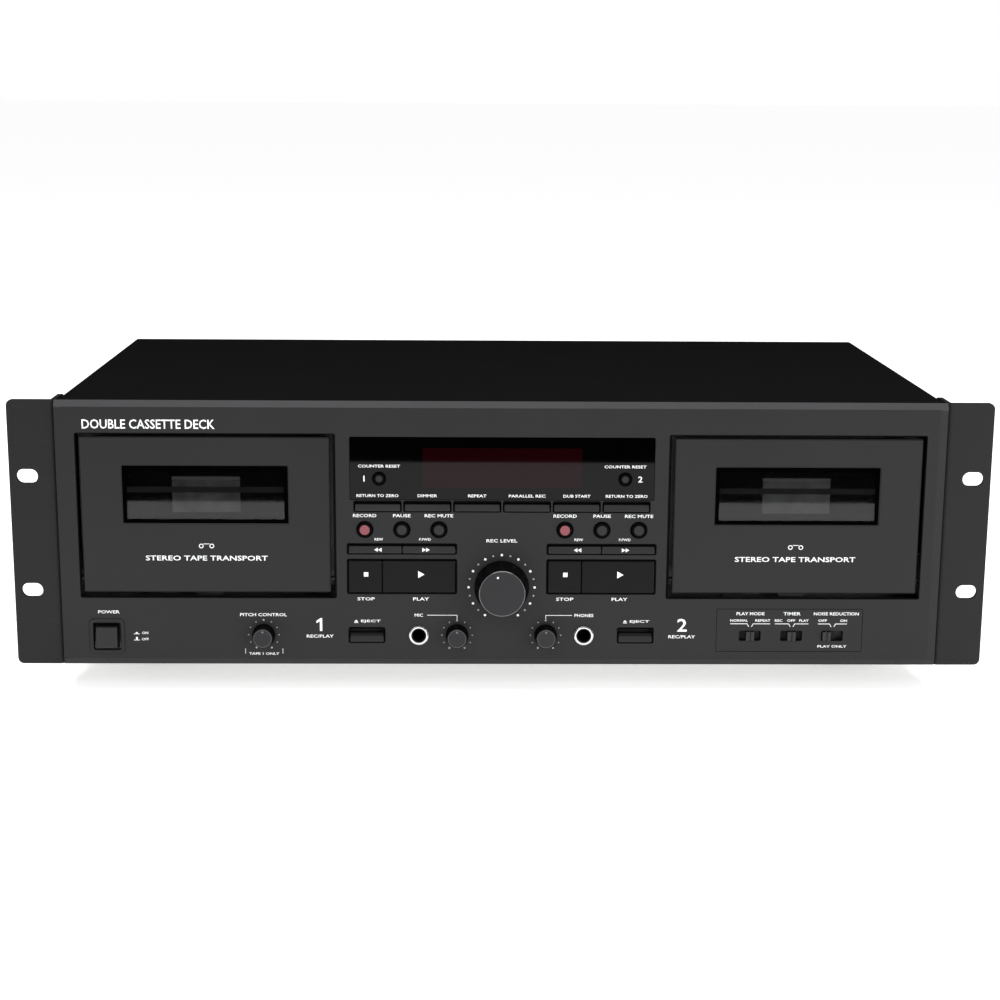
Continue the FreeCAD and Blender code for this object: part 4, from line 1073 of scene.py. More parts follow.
def rib_arc_tree() -> GeometryTree:
    """A tree that sets leaning ribs round a knob's skirt.

    Returns:
        The tree.
    """
    inputs = [("Count", "NodeSocketInt"), ("Material", "NodeSocketMaterial")]
    sizes = ("Radius", "First", "Step", "Width", "Length", "Height", "Lean")
    inputs += [(name, "NodeSocketFloat") for name in sizes]
    tree = GeometryTree("rib_arc", inputs)
    given = tree.given.outputs
    placed, angle = on_arc(tree)
    size = tree.node("ShaderNodeCombineXYZ", {0: given["Width"], 1: given["Length"], 2: given["Height"]})
    rib = tree.node("GeometryNodeMeshCube", {"Size": size.outputs[0]}).outputs["Mesh"]
    lean = tree.node("ShaderNodeCombineXYZ", {0: given["Lean"]}).outputs[0]
    leaning = tree.node("GeometryNodeTransform", {"Geometry": rib, "Rotation": lean}).outputs[0]
    turn = tree.node("ShaderNodeCombineXYZ", {1: angle}).outputs[0]
    rotation = tree.node("FunctionNodeEulerToRotation", {0: turn}).outputs[0]
    tree.close(
        tree.node(
            "GeometryNodeInstanceOnPoints",
            {"Points": placed, "Instance": leaning, "Rotation": rotation},
        ).outputs[0]
    )
    return tree


def screw_tree() -> GeometryTree:
    """A tree that seats one screw on every point, each turned at random.

    Returns:
        The tree.
    """
    inputs = [("Screw", "NodeSocketObject"), ("Seed", "NodeSocketInt"), ("Material", "NodeSocketMaterial")]
    tree = GeometryTree("screws", inputs)
    given = tree.given.outputs
    outward = tree.node("GeometryNodeInputNamedAttribute", {"Name": "outward"}, data_type="FLOAT_VECTOR")
    aim = tree.node("FunctionNodeAlignRotationToVector", {"Vector": outward.outputs[0]}, axis="Z")
    spin = tree.node("FunctionNodeRandomValue", {"Max": math.pi, "Seed": given["Seed"]}, data_type="FLOAT")
    angle = next(output for output in spin.outputs if output.enabled)
    about = tree.node("ShaderNodeCombineXYZ", {2: angle}).outputs[0]
    twist = tree.node("FunctionNodeEulerToRotation", {0: about}).outputs[0]
    turned = tree.node(
        "FunctionNodeRotateRotation",
        {"Rotation": aim.outputs[0], "Rotate By": twist},
        rotation_space="LOCAL",
    ).outputs[0]
    screw = tree.node("GeometryNodeObjectInfo", {"Object": given["Screw"]}).outputs["Geometry"]
    tree.close(
        tree.node(
            "GeometryNodeInstanceOnPoints",
            {"Points": given["Geometry"], "Instance": screw, "Rotation": turned},
        ).outputs[0]
    )
    return tree


def moved(mesh: bpy.types.Mesh, place: Vector) -> bpy.types.Mesh:
    """A mesh shifted by a vector."""
    mesh.transform(Matrix.Translation(place))
    return mesh


# Sub-assemblies


@dataclass
class PanelPrint:
    """All the printing on the front panel.

    A word's places and widths are in millimetres, from the middle of the
    control that it names.
    """

    inks: dict[str, bpy.types.Material]
    cap: float = 1.6 * MM
    small_cap: float = 1.25 * MM
    numeral_cap: float = 6.6 * MM
    numeral_at: float = 90.3 * MM
    headline_cap: float = 4.6 * MM
    headline_width: float = 64.4 * MM
    switch_pitch: float = 20.5 * MM

    def headline(self, ink: Print) -> None:
        """The kind of machine, in the panel's top left corner.

        Args:
            ink: The print to add it to.
        """
        low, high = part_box("cassette_door_1")
        across = low.x + 2.0 * MM + self.headline_width / 2
        ink.words("DOUBLE CASSETTE DECK", across, high.z + 6.2 * MM, self.headline_cap, self.headline_width)

    def transport(self, ink: Print) -> None:
        """The words round both transport clusters.

        Args:
            ink: The print to add them to.
        """
        round_keys = (("record", "RECORD", 11.5), ("pause", "PAUSE", 8.6), ("record_mute", "REC MUTE", 14.0))
        for side in Side:
            for name, text, width in round_keys:
                key = middle_of(f"{name}_button_{side.value}")
                ink.words(text, key.x, key.z + 7.0 * MM, self.cap, width * MM)
            for name, text, shift in (("rewind", "REW", 1.9), ("fast_forward", "F.FWD", -1.9)):
                key = middle_of(f"{name}_button_{side.value}")
                ink.words(text, key.x + shift * MM, key.z + 5.0 * MM, self.small_cap)
            for name, text, shift, width in (("stop", "STOP", 0.3, 8.6), ("play", "PLAY", 1.0, 7.9)):
                low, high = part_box(f"{name}_button_{side.value}")
                across = (low.x + high.x) / 2 + shift * MM
                ink.words(text, across, low.z - 2.3 * MM, self.cap, width * MM)

    def controls(self, ink: Print) -> None:
        """The words over the knobs and sockets, with their lead lines.

        Args:
            ink: The print to add them to.
        """
        level = middle_of("record_level_knob")
        ink.words("REC LEVEL", level.x, level.z + 23.6 * MM, self.cap, 15.3 * MM)
        low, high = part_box("front_jacks")
        leads = (
            ("MIC", low.x + JACK_INSET, "mic_knob", 4.2),
            ("PHONES", high.x - JACK_INSET, "phones_knob", 6.0),
        )
        for text, jack, knob, gap in leads:
            dial = middle_of(knob)
            top = dial.z + 10.2 * MM
            ink.words(text, jack, top, self.cap)
            start = jack + math.copysign(gap * MM, dial.x - jack)
            ink.line([(start, top), (dial.x, top), (dial.x, top - 2.0 * MM)])
        pitch = middle_of("pitch_knob")
        foot = pitch.z - 9.7 * MM
        ink.words("PITCH CONTROL", pitch.x, pitch.z + 10.3 * MM, self.cap, 23.2 * MM)
        ink.words("TAPE 1 ONLY", pitch.x, foot, self.small_cap, 15.0 * MM)
        for hand in (-1, 1):
            across = pitch.x + hand * 9.3 * MM
            ink.line([(across, foot), (across, foot + 2.6 * MM)], 0.2 * MM)

    def numeral(self, ink: Print, side: Side, across: float, up: float) -> None:
        """A deck's large number; the 1 is drawn with its flag.

        Args:
            ink: The print to add it to.
            side: The deck.
            across: The number's middle x.
            up: Its middle z.
        """
        if side is Side.RIGHT:
            ink.words(side.value, across, up, self.numeral_cap)
            return
        half = self.numeral_cap / 2
        spine, stem = across + 0.5 * MM, 0.6 * MM
        tip = spine - 2.3 * MM
        ink.mark([
            (spine - stem, up - half),
            (spine + stem, up - half),
            (spine + stem, up + half),
            (spine - 0.3 * MM, up + half),
            (tip, up + half - 1.5 * MM),
            (tip, up + half - 2.6 * MM),
            (spine - stem, up + half - 1.6 * MM),
        ])

    def ejects(self, ink: Print) -> None:
        """The words and marks at the eject keys, and the deck numbers.

        Args:
            ink: The print to add them to.
        """
        for side in Side:
            key = middle_of(f"eject_button_{side.value}")
            top = key.z + 8.1 * MM
            ink.words("EJECT", key.x + 2.0 * MM, top, self.cap, 9.8 * MM)
            left, base = key.x - 5.3 * MM, top - 0.2 * MM
            ink.mark([(left - MM, base), (left + MM, base), (left, base + MM)])
            bottom, lid = base - 0.6 * MM, base - 0.3 * MM
            ink.mark([(left - MM, bottom), (left + MM, bottom), (left + MM, lid), (left - MM, lid)])
            across = math.copysign(self.numeral_at, key.x)
            self.numeral(ink, side, across, key.z + 6.4 * MM)
            ink.words("REC/PLAY", across, key.z + 0.45 * MM, self.cap, 13.4 * MM)

    def power(self, ink: Print) -> None:
        """The words at the power key, with its two positions.

        Args:
            ink: The print to add them to.
        """
        key = middle_of("power_button")
        ink.words("POWER", key.x + 1.2 * MM, key.z + 12.3 * MM, self.cap, 10.6 * MM)
        across = key.x + 14.6 * MM
        for text, height, stub in (("ON", 1.6, 0.9), ("OFF", -1.6, 1.6)):
            up = key.z + height * MM
            base = up - 0.5 * MM
            ink.words(text, across + 4.2 * MM, up, self.small_cap)
            ink.line([(across - 1.4 * MM, base), (across + 1.4 * MM, base)], 0.3 * MM)
            ink.line([(across, base), (across, base + stub * MM)], 0.9 * MM)

    def switches(self, ink: Print) -> None:
        """The slide switches' names and positions, with their brackets.

        Args:
            ink: The print to add them to.
        """
        play_mode, timer = middle_of("play_mode_switch"), middle_of("timer_switch")
        level = play_mode.z
        row = level + 7.9 * MM
        top = row - 1.7 * MM
        noise_reduction = timer.x + self.switch_pitch
        groups = (
            (play_mode.x, "PLAY MODE", 14.0, 0.0, 10.0, ((-5.6, "NORMAL", 8.8), (6.3, "REPEAT", 7.5))),
            (timer.x, "TIMER", 8.6, 0.0, 8.4, ((-6.6, "REC", 3.8), (-0.3, "OFF", 4.0), (6.1, "PLAY", 4.8))),
            (noise_reduction, "NOISE REDUCTION", 22.5, 1.7, 7.3, ((-5.0, "OFF", 4.4), (5.5, "ON", 3.4))),
        )
        for across, title, width, shift, reach, positions in groups:
            ink.words(title, across + shift * MM, level + 11.4 * MM, self.cap, width * MM)
            for place, text, span in positions:
                ink.words(text, across + place * MM, row, self.small_cap, span * MM)
            for hand in (-1, 1):
                ink.line([(across + hand * reach * MM, top), (across + hand * 1.5 * MM, top),
                          (across + hand * 0.7 * MM, top - 1.5 * MM)], 0.3 * MM)
        ink.words("PLAY ONLY", noise_reduction + 0.2 * MM, level - 5.4 * MM, self.small_cap, 14.6 * MM)

    def switch_box(self) -> None:
        """The thin dark line round the slide switches."""
        play_mode, timer = middle_of("play_mode_switch"), middle_of("timer_switch")
        line = 0.25 * MM
        low = (play_mode.x - 17.0 * MM, play_mode.z - 8.2 * MM)
        high = (timer.x + 35.6 * MM, play_mode.z + 13.9 * MM)
        inner = rounded((low[0] + line, low[1] + line), (high[0] - line, high[1] - line), 0.6 * MM)
        box = Print(panel_face()).ring(rounded(low, high, 0.8 * MM), inner)
        box.solid.settle("switch_frame_printing", CASE, self.inks["ink_and_shade_black"])

    def build(self) -> None:
        """Print the white words as one piece and the switches' box as another."""
        ink = Print(panel_face())
        for part in (self.headline, self.transport, self.controls, self.ejects, self.power, self.switches):
            part(ink)
        ink.solid.settle("panel_printing", CASE, self.inks["legend_ink"])
        self.switch_box()


@dataclass
class DisplayPrint:
    """The words on the display window's lower edge."""

    inks: dict[str, bpy.types.Material]
    cap: float = 1.4 * MM
    numeral_cap: float = 2.9 * MM

    def build(self) -> None:
        """Print the key names and the counters' marks."""
        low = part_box("display_window")[0]
        ink = Print(low.y)
        names = (
            ("return_to_zero_button_1", "RETURN TO ZERO", 20.6),
            ("dimmer_button", "DIMMER", 9.6),
            ("repeat_button", "REPEAT", 9.0),
            ("parallel_record_button", "PARALLEL REC", 18.0),
            ("dub_start_button", "DUB START", 13.4),
            ("return_to_zero_button_2", "RETURN TO ZERO", 20.6),
        )
        for node, text, width in names:
            ink.words(text, middle_of(node).x, low.z + 1.9 * MM, self.cap, width * MM)
        for side, away in ((Side.LEFT, -1), (Side.RIGHT, 1)):
            key = middle_of(f"counter_reset_button_{side.value}")
            ink.words("COUNTER RESET", key.x, key.z + 6.2 * MM, self.cap, 20.6 * MM)
            ink.words(side.value, key.x + away * 7.4 * MM, key.z, self.numeral_cap)
        ink.solid.settle("display_printing", CASE, self.inks["legend_ink"])


@dataclass
class Scales:
    """The dots round the dials, printed on the panel."""

    inks: dict[str, bpy.types.Material]
    level_radius: float = 16.4 * MM
    trim_radius: float = 7.6 * MM
    end: float = -150.0
    step: float = 30.0

    def arc(self, tree: GeometryTree, knob: str, ink: str, radius: float, count: int, first: float,
            step: float, dot: float) -> bpy.types.Mesh:
        """One arc of dots about a knob.

        Args:
            tree: The dot tree.
            knob: The knob's node.
            ink: The ink's name.
            radius: The arc's radius.
            count: How many dots it has.
            first: The first dot's angle in degrees, clockwise from the top.
            step: The angle from dot to dot.
            dot: A dot's radius.

        Returns:
            The dots as a mesh, in place.
        """
        values = {
            "Count": count, "Material": self.inks[ink], "Radius": radius, "First": math.radians(first),
            "Step": math.radians(step), "Dot": dot, "Depth": INK_PROUD + INK_SUNK,
        }
        centre = middle_of(knob)
        face = panel_face() - (INK_PROUD - INK_SUNK) / 2
        return moved(tree.grow(values), Vector((centre.x, face, centre.z)))

    def build(self) -> None:
        """Print the level knob's scale and the small knobs' scales."""
        tree = dot_arc_tree()
        bright, dim = Solid(), Solid()
        level = "record_level_knob"
        between = self.end + self.step / 2
        large, small = self.level_radius, self.trim_radius
        bright.add(self.arc(tree, level, "legend_ink", large, 11, self.end, self.step, 0.62 * MM))
        dim.add(self.arc(tree, level, "dim_ink", large, 10, between, self.step, 0.45 * MM))
        for knob in KNOBS[1:]:
            dim.add(self.arc(tree, knob, "dim_ink", small, 11, self.end, self.step, 0.30 * MM))
            bright.add(self.arc(tree, knob, "legend_ink", small, 3, self.end, -self.end, 0.42 * MM))
        bright.settle("scale_dots_bright", CASE, self.inks["legend_ink"])
        dim.settle("scale_dots_dim", CASE, self.inks["dim_ink"])


@dataclass
class Knobs:
    """Each knob's ribs, edge ring with a painted highlight, and pointer dot."""

    inks: dict[str, bpy.types.Material]

    def dress(self, tree: GeometryTree, knob: str, ribs: int, pointer: float) -> None:
        """Finish one knob.

        Args:
            tree: The rib tree.
            knob: The knob's node, which is its body too.
            ribs: How many ribs its skirt has.
            pointer: The pointer's angle in degrees, clockwise from the top.
        """
        low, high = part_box(knob)
        middle = (low + high) / 2
        centre = (middle.x, middle.z)
        base = (high.x - low.x) / 2
        big = base > 10 * MM
        face = base - (2.4 if big else 1.35) * MM
        self.ribs(tree, knob, ribs, base, face)
        front = low.y
        # The edge ring is a real rounded edge, made lighter and shinier than the face: partly painted
        # highlight.
        ring = [(face - 0.12 * MM, front - 0.05 * MM), (face + 0.10 * MM, front - 0.04 * MM),
                (face + 0.34 * MM, front + 0.22 * MM), (face + 0.1 * MM, front + 0.25 * MM),
                (face - 0.2 * MM, front + 0.08 * MM)]
        Solid().turned(ring, centre, 96 if big else 48).settle(
            f"{knob}_edge_ring", knob, self.inks["rim_highlight_metal" if big else "rim_highlight_grey"], smooth=True)
        angle, reach = math.radians(pointer), face * 0.75
        spot = (middle.x + reach * math.sin(angle), middle.z + reach * math.cos(angle))
        dot = [(0.54 * MM, front + 0.32 * MM), (0.54 * MM, front + 0.10 * MM), (0.36 * MM, front + 0.04 * MM)]
        Solid().domed(dot, spot, 24).settle(
            f"{knob}_pointer", knob, self.inks["legend_ink" if big else "pointer_ink"], smooth=True)

    def ribs(self, tree: GeometryTree, knob: str, count: int, base: float, face: float) -> None:
        """The grip on one knob's leaning skirt.

        Args:
            tree: The rib tree.
            knob: The knob's node.
            count: How many ribs there are.
            base: The skirt's radius at the panel.
            face: The radius of the knob's face.
        """
        low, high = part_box(knob)
        middle = (low + high) / 2
        panel = panel_face()
        foot, nose = panel - 0.9 * MM, low.y + 1.1 * MM
        shoulder, start = face + 0.5 * MM, low.y + 0.6 * MM
        lean = math.atan2(base - shoulder, (panel - 0.5 * MM) - start)
        half_way = (foot + nose) / 2
        values = {
            "Count": count,
            "Material": self.inks["knob_plastic"],
            "Radius": shoulder + math.tan(lean) * (half_way - start),
            "First": 0.0,
            "Step": 2 * math.pi / count,
            "Width": (0.55 if base > 10 * MM else 0.42) * MM,
            "Length": (foot - nose) / math.cos(lean),
            "Height": 0.36 * MM,
            "Lean": lean,
        }
        grip = Solid().add(moved(tree.grow(values), Vector((middle.x, half_way, middle.z))))
        grip.settle(f"{knob}_ribs", knob, self.inks["knob_plastic"], "knob_plastic")

    def build(self) -> None:
        """Finish all four knobs."""
        tree = rib_arc_tree()
        self.dress(tree, "record_level_knob", 72, -15)
        for knob in KNOBS[1:]:
            self.dress(tree, knob, 36, 0)


@dataclass
class KeyMarks:
    """The marks on the keys themselves, each riding on its own key."""

    inks: dict[str, bpy.types.Material]

    def on_key(self, node: str, draw: Callable[[Print, Vector], None]) -> None:
        """Print one key.

        Args:
            node: The key's node, which is its body too.
            draw: What prints on it, given the ink and the key's middle.
        """
        ink = Print(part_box(node)[0].y)
        draw(ink, middle_of(node))
        ink.solid.settle(f"{node}_mark", node, self.inks["legend_ink"])

    def wind(self, hand: int) -> Callable[[Print, Vector], None]:
        """A pair of arrows.

        Args:
            hand: Which way they point, -1 to the left and 1 to the right.

        Returns:
            What draws them.
        """

        def draw(ink: Print, key: Vector) -> None:
            """Print the pair a little towards the other key.

            Args:
                ink: The print to add it to.
                key: The key's middle.
            """
            for step in (-1, 1):
                across = key.x + (step * 0.95 - hand * 0.5) * MM
                ink.arrow((across, key.z - 0.3 * MM), hand * 1.8 * MM)

        return draw

    def stop(self, ink: Print, key: Vector) -> None:
        """A square.

        Args:
            ink: The print to add it to.
            key: The key's middle.
        """
        half = 1.1 * MM
        across, up = key.x + 0.4 * MM, key.z + 0.9 * MM
        ink.mark([(across - half, up - half), (across + half, up - half), (across + half, up + half),
                  (across - half, up + half)])

    def play(self, ink: Print, key: Vector) -> None:
        """An arrow to the right."""
        ink.arrow((key.x + 2.7 * MM, key.z + 0.9 * MM), 3.1 * MM)

    def build(self) -> None:
        """Print every marked key of both decks."""
        for side in Side:
            self.on_key(f"rewind_button_{side.value}", self.wind(-1))
            self.on_key(f"fast_forward_button_{side.value}", self.wind(1))
            self.on_key(f"stop_button_{side.value}", self.stop)
            self.on_key(f"play_button_{side.value}", self.play)


@dataclass
class Door:
    """One cassette door's window, its backing and its printing."""

    side: Side
    inks: dict[str, bpy.types.Material]
    lap: float = 3.3 * MM
    lean: float = 0.675 * MM
    sight_width: float = 33.4 * MM
    sight_height: float = 17.8 * MM
    # bar is the height of the painted highlight bar along the sight's top.
    bar: float = 1.7 * MM

    @property
    def body(self) -> str:
        """The door's body."""
        return f"door_{self.side.value}"

    @property
    def window(self) -> tuple[Vector, Vector]:
        """The window's box, flange and all."""
        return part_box(f"door_window_{self.side.value}")

    def lay(self, name: str, solid: Solid, ink: str) -> None:
        """Settle one of the door's own pieces.

        Args:
            name: The piece's name, without the deck's number.
            solid: Its shape.
            ink: Its finish's name.
        """
        solid.settle(f"{name}_{self.side.value}", self.body, self.inks[ink])

    def pane(self) -> None:
        """The smoked pane, whose two faces lean back a little at the top."""
        low, high = self.window
        shoulder = high.y - 1.2 * MM
        left, right = low.x + self.lap, high.x - self.lap
        bottom, top = low.z + self.lap, high.z - self.lap
        sight = rounded((left, bottom), (right, top), 0.7 * MM)
        flange = rounded((low.x, low.z), (high.x, high.z), 0.7 * MM)
        slope = self.lean / (top - bottom)
        glass = Solid().loft([
            [Vector((x, low.y + slope * (z - bottom), z)) for x, z in sight],
            [Vector((x, shoulder, z)) for x, z in sight],
            [Vector((x, shoulder, z)) for x, z in flange],
            [Vector((x, high.y - slope * (high.z - z), z)) for x, z in flange],
        ])
        name = f"window_pane_{self.side.value}"
        piece = glass.settle(name, self.body, self.inks["smoked_window"], "smoked_window")
        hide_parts(f"door_window_{self.side.value}")

    def backing(self) -> None:
        """The black printing behind the pane, the rail seen through them, and painted light in its sight: a
        pale mottled sheet and a bright bar along its top.
        """
        low, high = self.window
        middle, back = (low + high) / 2, high.y
        left, right = middle.x - self.sight_width / 2, middle.x + self.sight_width / 2
        sill = middle.z - self.sight_height / 2 - 0.6 * MM
        lintel = sill + self.sight_height
        outer = rounded((low.x, low.z), (high.x, high.z), 0.7 * MM)
        inner = rounded((left, sill), (right, lintel), 0.5 * MM)
        mask = Solid().rim(outer, inner, back + 0.20 * MM, back + 0.36 * MM)
        self.lay("window_backing", mask, "window_black")
        rail = rounded((low.x + self.lap, middle.z + 0.3 * MM), (high.x - self.lap, middle.z + 3.2 * MM),
                       0.3 * MM)
        self.lay("window_rail", Solid().prism(rail, back + 0.12 * MM, back + 0.18 * MM), "rail_grey")
        # Painted light: a pale mottled sheet standing in for the lit well and its glints seen through the
        # sight.
        light_sheet = rounded((left, sill), (right, lintel - self.bar - 0.2 * MM), 0.5 * MM)
        self.lay("window_sight_haze", Solid().prism(light_sheet, back + 0.24 * MM, back + 0.30 * MM), "sight_painted_light")
        # Painted highlight: a light grey bar along the sight's top edge.
        bar = rounded((left, lintel - self.bar), (right, lintel), 0.3 * MM)
        self.lay("window_sight_bar", Solid().prism(bar, back + 0.02 * MM, back + 0.10 * MM), "highlight_grey")

    def border(self) -> None:
        """The narrow black frame that holds the pane's edge."""
        low, high = self.window
        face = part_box(f"cassette_door_{self.side.value}")[0].y
        reach, wall = self.lap - 0.25 * MM, 1.9 * MM
        start, stop = (low.x + reach, low.z + reach), (high.x - reach, high.z - reach)
        outer = rounded(start, stop, 0.8 * MM)
        inner = rounded((start[0] + wall, start[1] + wall), (stop[0] - wall, stop[1] - wall), 0.5 * MM)
        edge = Solid().rim(outer, inner, face + 0.75 * MM, face + 1.9 * MM)
        self.lay("window_border", edge, "window_black")

    def printing(self) -> None:
        """The words under the window and a mark of two reels."""
        low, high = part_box(f"cassette_door_{self.side.value}")
        middle = (low.x + high.x) / 2
        ink = Print(low.y)
        ink.words("STEREO TAPE TRANSPORT", middle, low.z + 17.3 * MM, 2.5 * MM, 60.0 * MM)
        up = low.z + 23.4 * MM
        for hand in (-1, 1):
            spot = (middle + hand * 2.6 * MM, up)
            ink.ring(disc(spot, 1.15 * MM, 24), disc(spot, 0.75 * MM, 24))
        ink.line([(middle - 1.5 * MM, up + 1.05 * MM), (middle + 1.5 * MM, up + 1.05 * MM)], 0.3 * MM)
        self.lay("door_printing", ink.solid, "legend_ink")

    def build(self) -> None:
        """Finish the door."""
        self.pane()
        self.backing()
        self.border()
        self.printing()


@dataclass
class Well:
    """The inside of one cassette well, behind its door."""

    side: Side
    inks: dict[str, bpy.types.Material]
    half_width: float = 44.8 * MM
    hub_hole: float = 6.0 * MM

    def hubs(self) -> list[Vector]:
        """The middles of the two reel spindles."""
        return [middle_of(f"{name}_spindle_{self.side.value}") for name in ("supply", "takeup")]

    def liner(self) -> None:
        """The black back wall, in three boards around the spindles."""
        hubs = self.hubs()
        middle = (hubs[0] + hubs[1]) / 2
        front = panel_face() + 17.75 * MM
        back = front + 0.6 * MM
        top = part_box(f"cassette_holder_{self.side.value}")[1].z - 1.5 * MM
        low = middle.z - 15.5 * MM
        wall = Solid()
        left, right = middle.x - self.half_width, middle.x + self.half_width
        for start, stop in ((low, middle.z - self.hub_hole), (middle.z + self.hub_hole, top)):
            wall.prism(rounded((left, start), (right, stop), 0.5 * MM), front, back)
        edges = [left, hubs[0].x - self.hub_hole, hubs[0].x + self.hub_hole, hubs[1].x - self.hub_hole,
                 hubs[1].x + self.hub_hole, right]
        for start, stop in ((edges[0], edges[1]), (edges[2], edges[3]), (edges[4], edges[5])):
            wall.block((start, front + 0.01 * MM, middle.z - self.hub_hole),
                       (stop, back - 0.01 * MM, middle.z + self.hub_hole))
        for hub in hubs:
            outer = disc((hub.x, hub.z), self.hub_hole + 1.0 * MM, 48)
            inner = disc((hub.x, hub.z), self.hub_hole - 0.2 * MM, 48)
            wall.rim(outer, inner, front - 0.5 * MM, back)
        wall.settle(f"well_liner_{self.side.value}", CASE, self.inks["well_black"])

    def foil(self) -> None:
        """The bright plate between the hubs that shows how much tape is left."""
        hubs = self.hubs()
        middle = (hubs[0] + hubs[1]) / 2
        front = panel_face() + 17.45 * MM
        half = 11.5 * MM
        outline = rounded((middle.x - half, middle.z - 9.4 * MM), (middle.x + half, middle.z + 10.4 * MM),
                          1.2 * MM)
        Solid().prism(outline, front, front + 0.25 * MM).settle(
            f"well_reflector_{self.side.value}", CASE, self.inks["foil_silver"])

    def build(self) -> None:
        """Line the well."""
        self.liner()
        self.foil()


@dataclass(frozen=True)
class Opening:
    """One panel opening, from the keys in it, with the dark line of painted shade around it.

    Its measures are in millimetres: how far the opening's foot lies below the
    keys' caps, its height, the line's width at the side, bottom and top, and
    the keys' hidden flange.
    """

    keys: tuple[str, ...]
    below: float
    height: float
    side: float
    bottom: float
    top: float
    flange: float = 1.0

    def corners(self) -> tuple[Point, Point]:
        """Work out the opening's size.

        Returns:
            Its lowest and its highest corner.
        """
        boxes = [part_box(key) for key in self.keys]
        left = min(low.x for low, _ in boxes) - 0.35 * MM
        right = max(high.x for _, high in boxes) + 0.35 * MM
        foot = boxes[0][0].z + (self.flange - self.below) * MM
        return (left, foot), (right, foot + self.height * MM)

    def draw(self, ink: Print) -> None:
        """Print the dark line of painted shade.

        Args:
            ink: The print to add it to.
        """
        low, high = self.corners()
        inner = rounded(low, high, 0.8 * MM)
        outer = rounded((low[0] - self.side * MM, low[1] - self.bottom * MM),
                        (high[0] + self.side * MM, high[1] + self.top * MM), 1.0 * MM)
        ink.ring(outer, inner)


@dataclass
class PaintedShadeSurrounds:
    """Painted shade: dark lines round the panel's openings and round the small keys' caps."""

    inks: dict[str, bpy.types.Material]

    def openings(self) -> list[Opening]:
        """Every rectangular opening.

        Returns:
            The menu keys' openings, then both decks'.
        """
        menu = ("return_to_zero_button_1", "dimmer_button", "repeat_button", "parallel_record_button",
                "dub_start_button", "return_to_zero_button_2")
        found = [Opening((key,), 0.35, 5.1, 0.30, 0.05, 0.75) for key in menu]
        for side in Side:
            wind = (f"rewind_button_{side.value}", f"fast_forward_button_{side.value}")
            found.append(Opening(wind, 0.35, 5.1, 0.55, 0.10, 0.55))
            run = (f"stop_button_{side.value}", f"play_button_{side.value}")
            found.append(Opening(run, 0.4, 17.0, 0.6, 0.5, 0.5))
            found.append(Opening((f"eject_button_{side.value}",), 0.35, 7.9, 0.45, 0.10, 0.30))
        return found

    def wells(self, ink: Print) -> None:
        """The dark line of painted shade round each door, wider towards the panel's middle.

        Args:
            ink: The print to add them to.
        """
        thin, wide = 0.2 * MM, 1.2 * MM
        for side in Side:
            low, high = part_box(f"cassette_door_{side.value}")
            start = (low.x - 1.8 * MM, low.z - 2.7 * MM)
            stop = (high.x + 1.8 * MM, high.z + 1.4 * MM)
            left, right = (thin, wide) if side is Side.LEFT else (wide, thin)
            outer = rounded((start[0] - left, start[1] - 0.3 * MM), (stop[0] + right, stop[1] + 0.5 * MM),
                            1.0 * MM)
            ink.ring(outer, rounded(start, stop, 0.8 * MM))

    def paint_cap_shade(self, key: str, flange: float) -> None:
        """A dark ring of painted shade on the shoulder of one round key.

        Args:
            key: The key's node, which is its body too.
            flange: How far the key's hidden flange reaches past its cap.
        """
        low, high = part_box(key)
        cap = (high.x - low.x) / 2 - flange
        front = low.y
        steps = [(-1.25, -0.05), (-0.75, -0.05), (-0.42, 0.04), (-0.15, 0.24), (0.02, 0.62), (0.05, 1.6),
                 (-0.1, 1.6), (-0.4, 0.5), (-0.8, 0.2), (-1.25, 0.08)]
        profile = [(cap + across * MM, front + along * MM) for across, along in steps]
        Solid().turned(profile, ((low.x + high.x) / 2, (low.z + high.z) / 2), 48).settle(
            f"{key}_shoulder", key, self.inks["ink_and_shade_black"], smooth=True)

    def build(self) -> None:
        """Print the painted shade lines and ring the round keys with painted shade."""
        ink = Print(panel_face())
        for opening in self.openings():
            opening.draw(ink)
        self.wells(ink)
        ink.solid.settle("opening_lines", CASE, self.inks["ink_and_shade_black"])
        for side in Side:
            for name in ("record", "pause", "record_mute", "counter_reset"):
                self.paint_cap_shade(f"{name}_button_{side.value}", 1.2 * MM)


@dataclass
class PowerBezel:
    """The raised square frame round the power key."""

    inks: dict[str, bpy.types.Material]
    half_width: float = 6.85 * MM
    half_height: float = 7.05 * MM

    def build(self) -> None:
        """Make the frame with a rounded edge."""
        key = middle_of("power_button")
        face = panel_face()
        profile = [(0.0, -0.6), (0.5, -0.75), (1.6, -0.75), (2.0, -0.1), (2.0, 0.1), (0.0, 0.1)]
        solid = Solid()
        rings = []
        for grow, along in profile:
            across, up = self.half_width + grow * MM, self.half_height + grow * MM
            outline = rounded((key.x - across, key.z - up), (key.x + across, key.z + up), (0.8 + grow) * MM)
            rings.append([solid.mesh.verts.new((x, face + along * MM, z)) for x, z in outline])
        solid.close_rings(rings)
        solid.settle("power_bezel", CASE, self.inks["panel_paint"], "panel_paint")


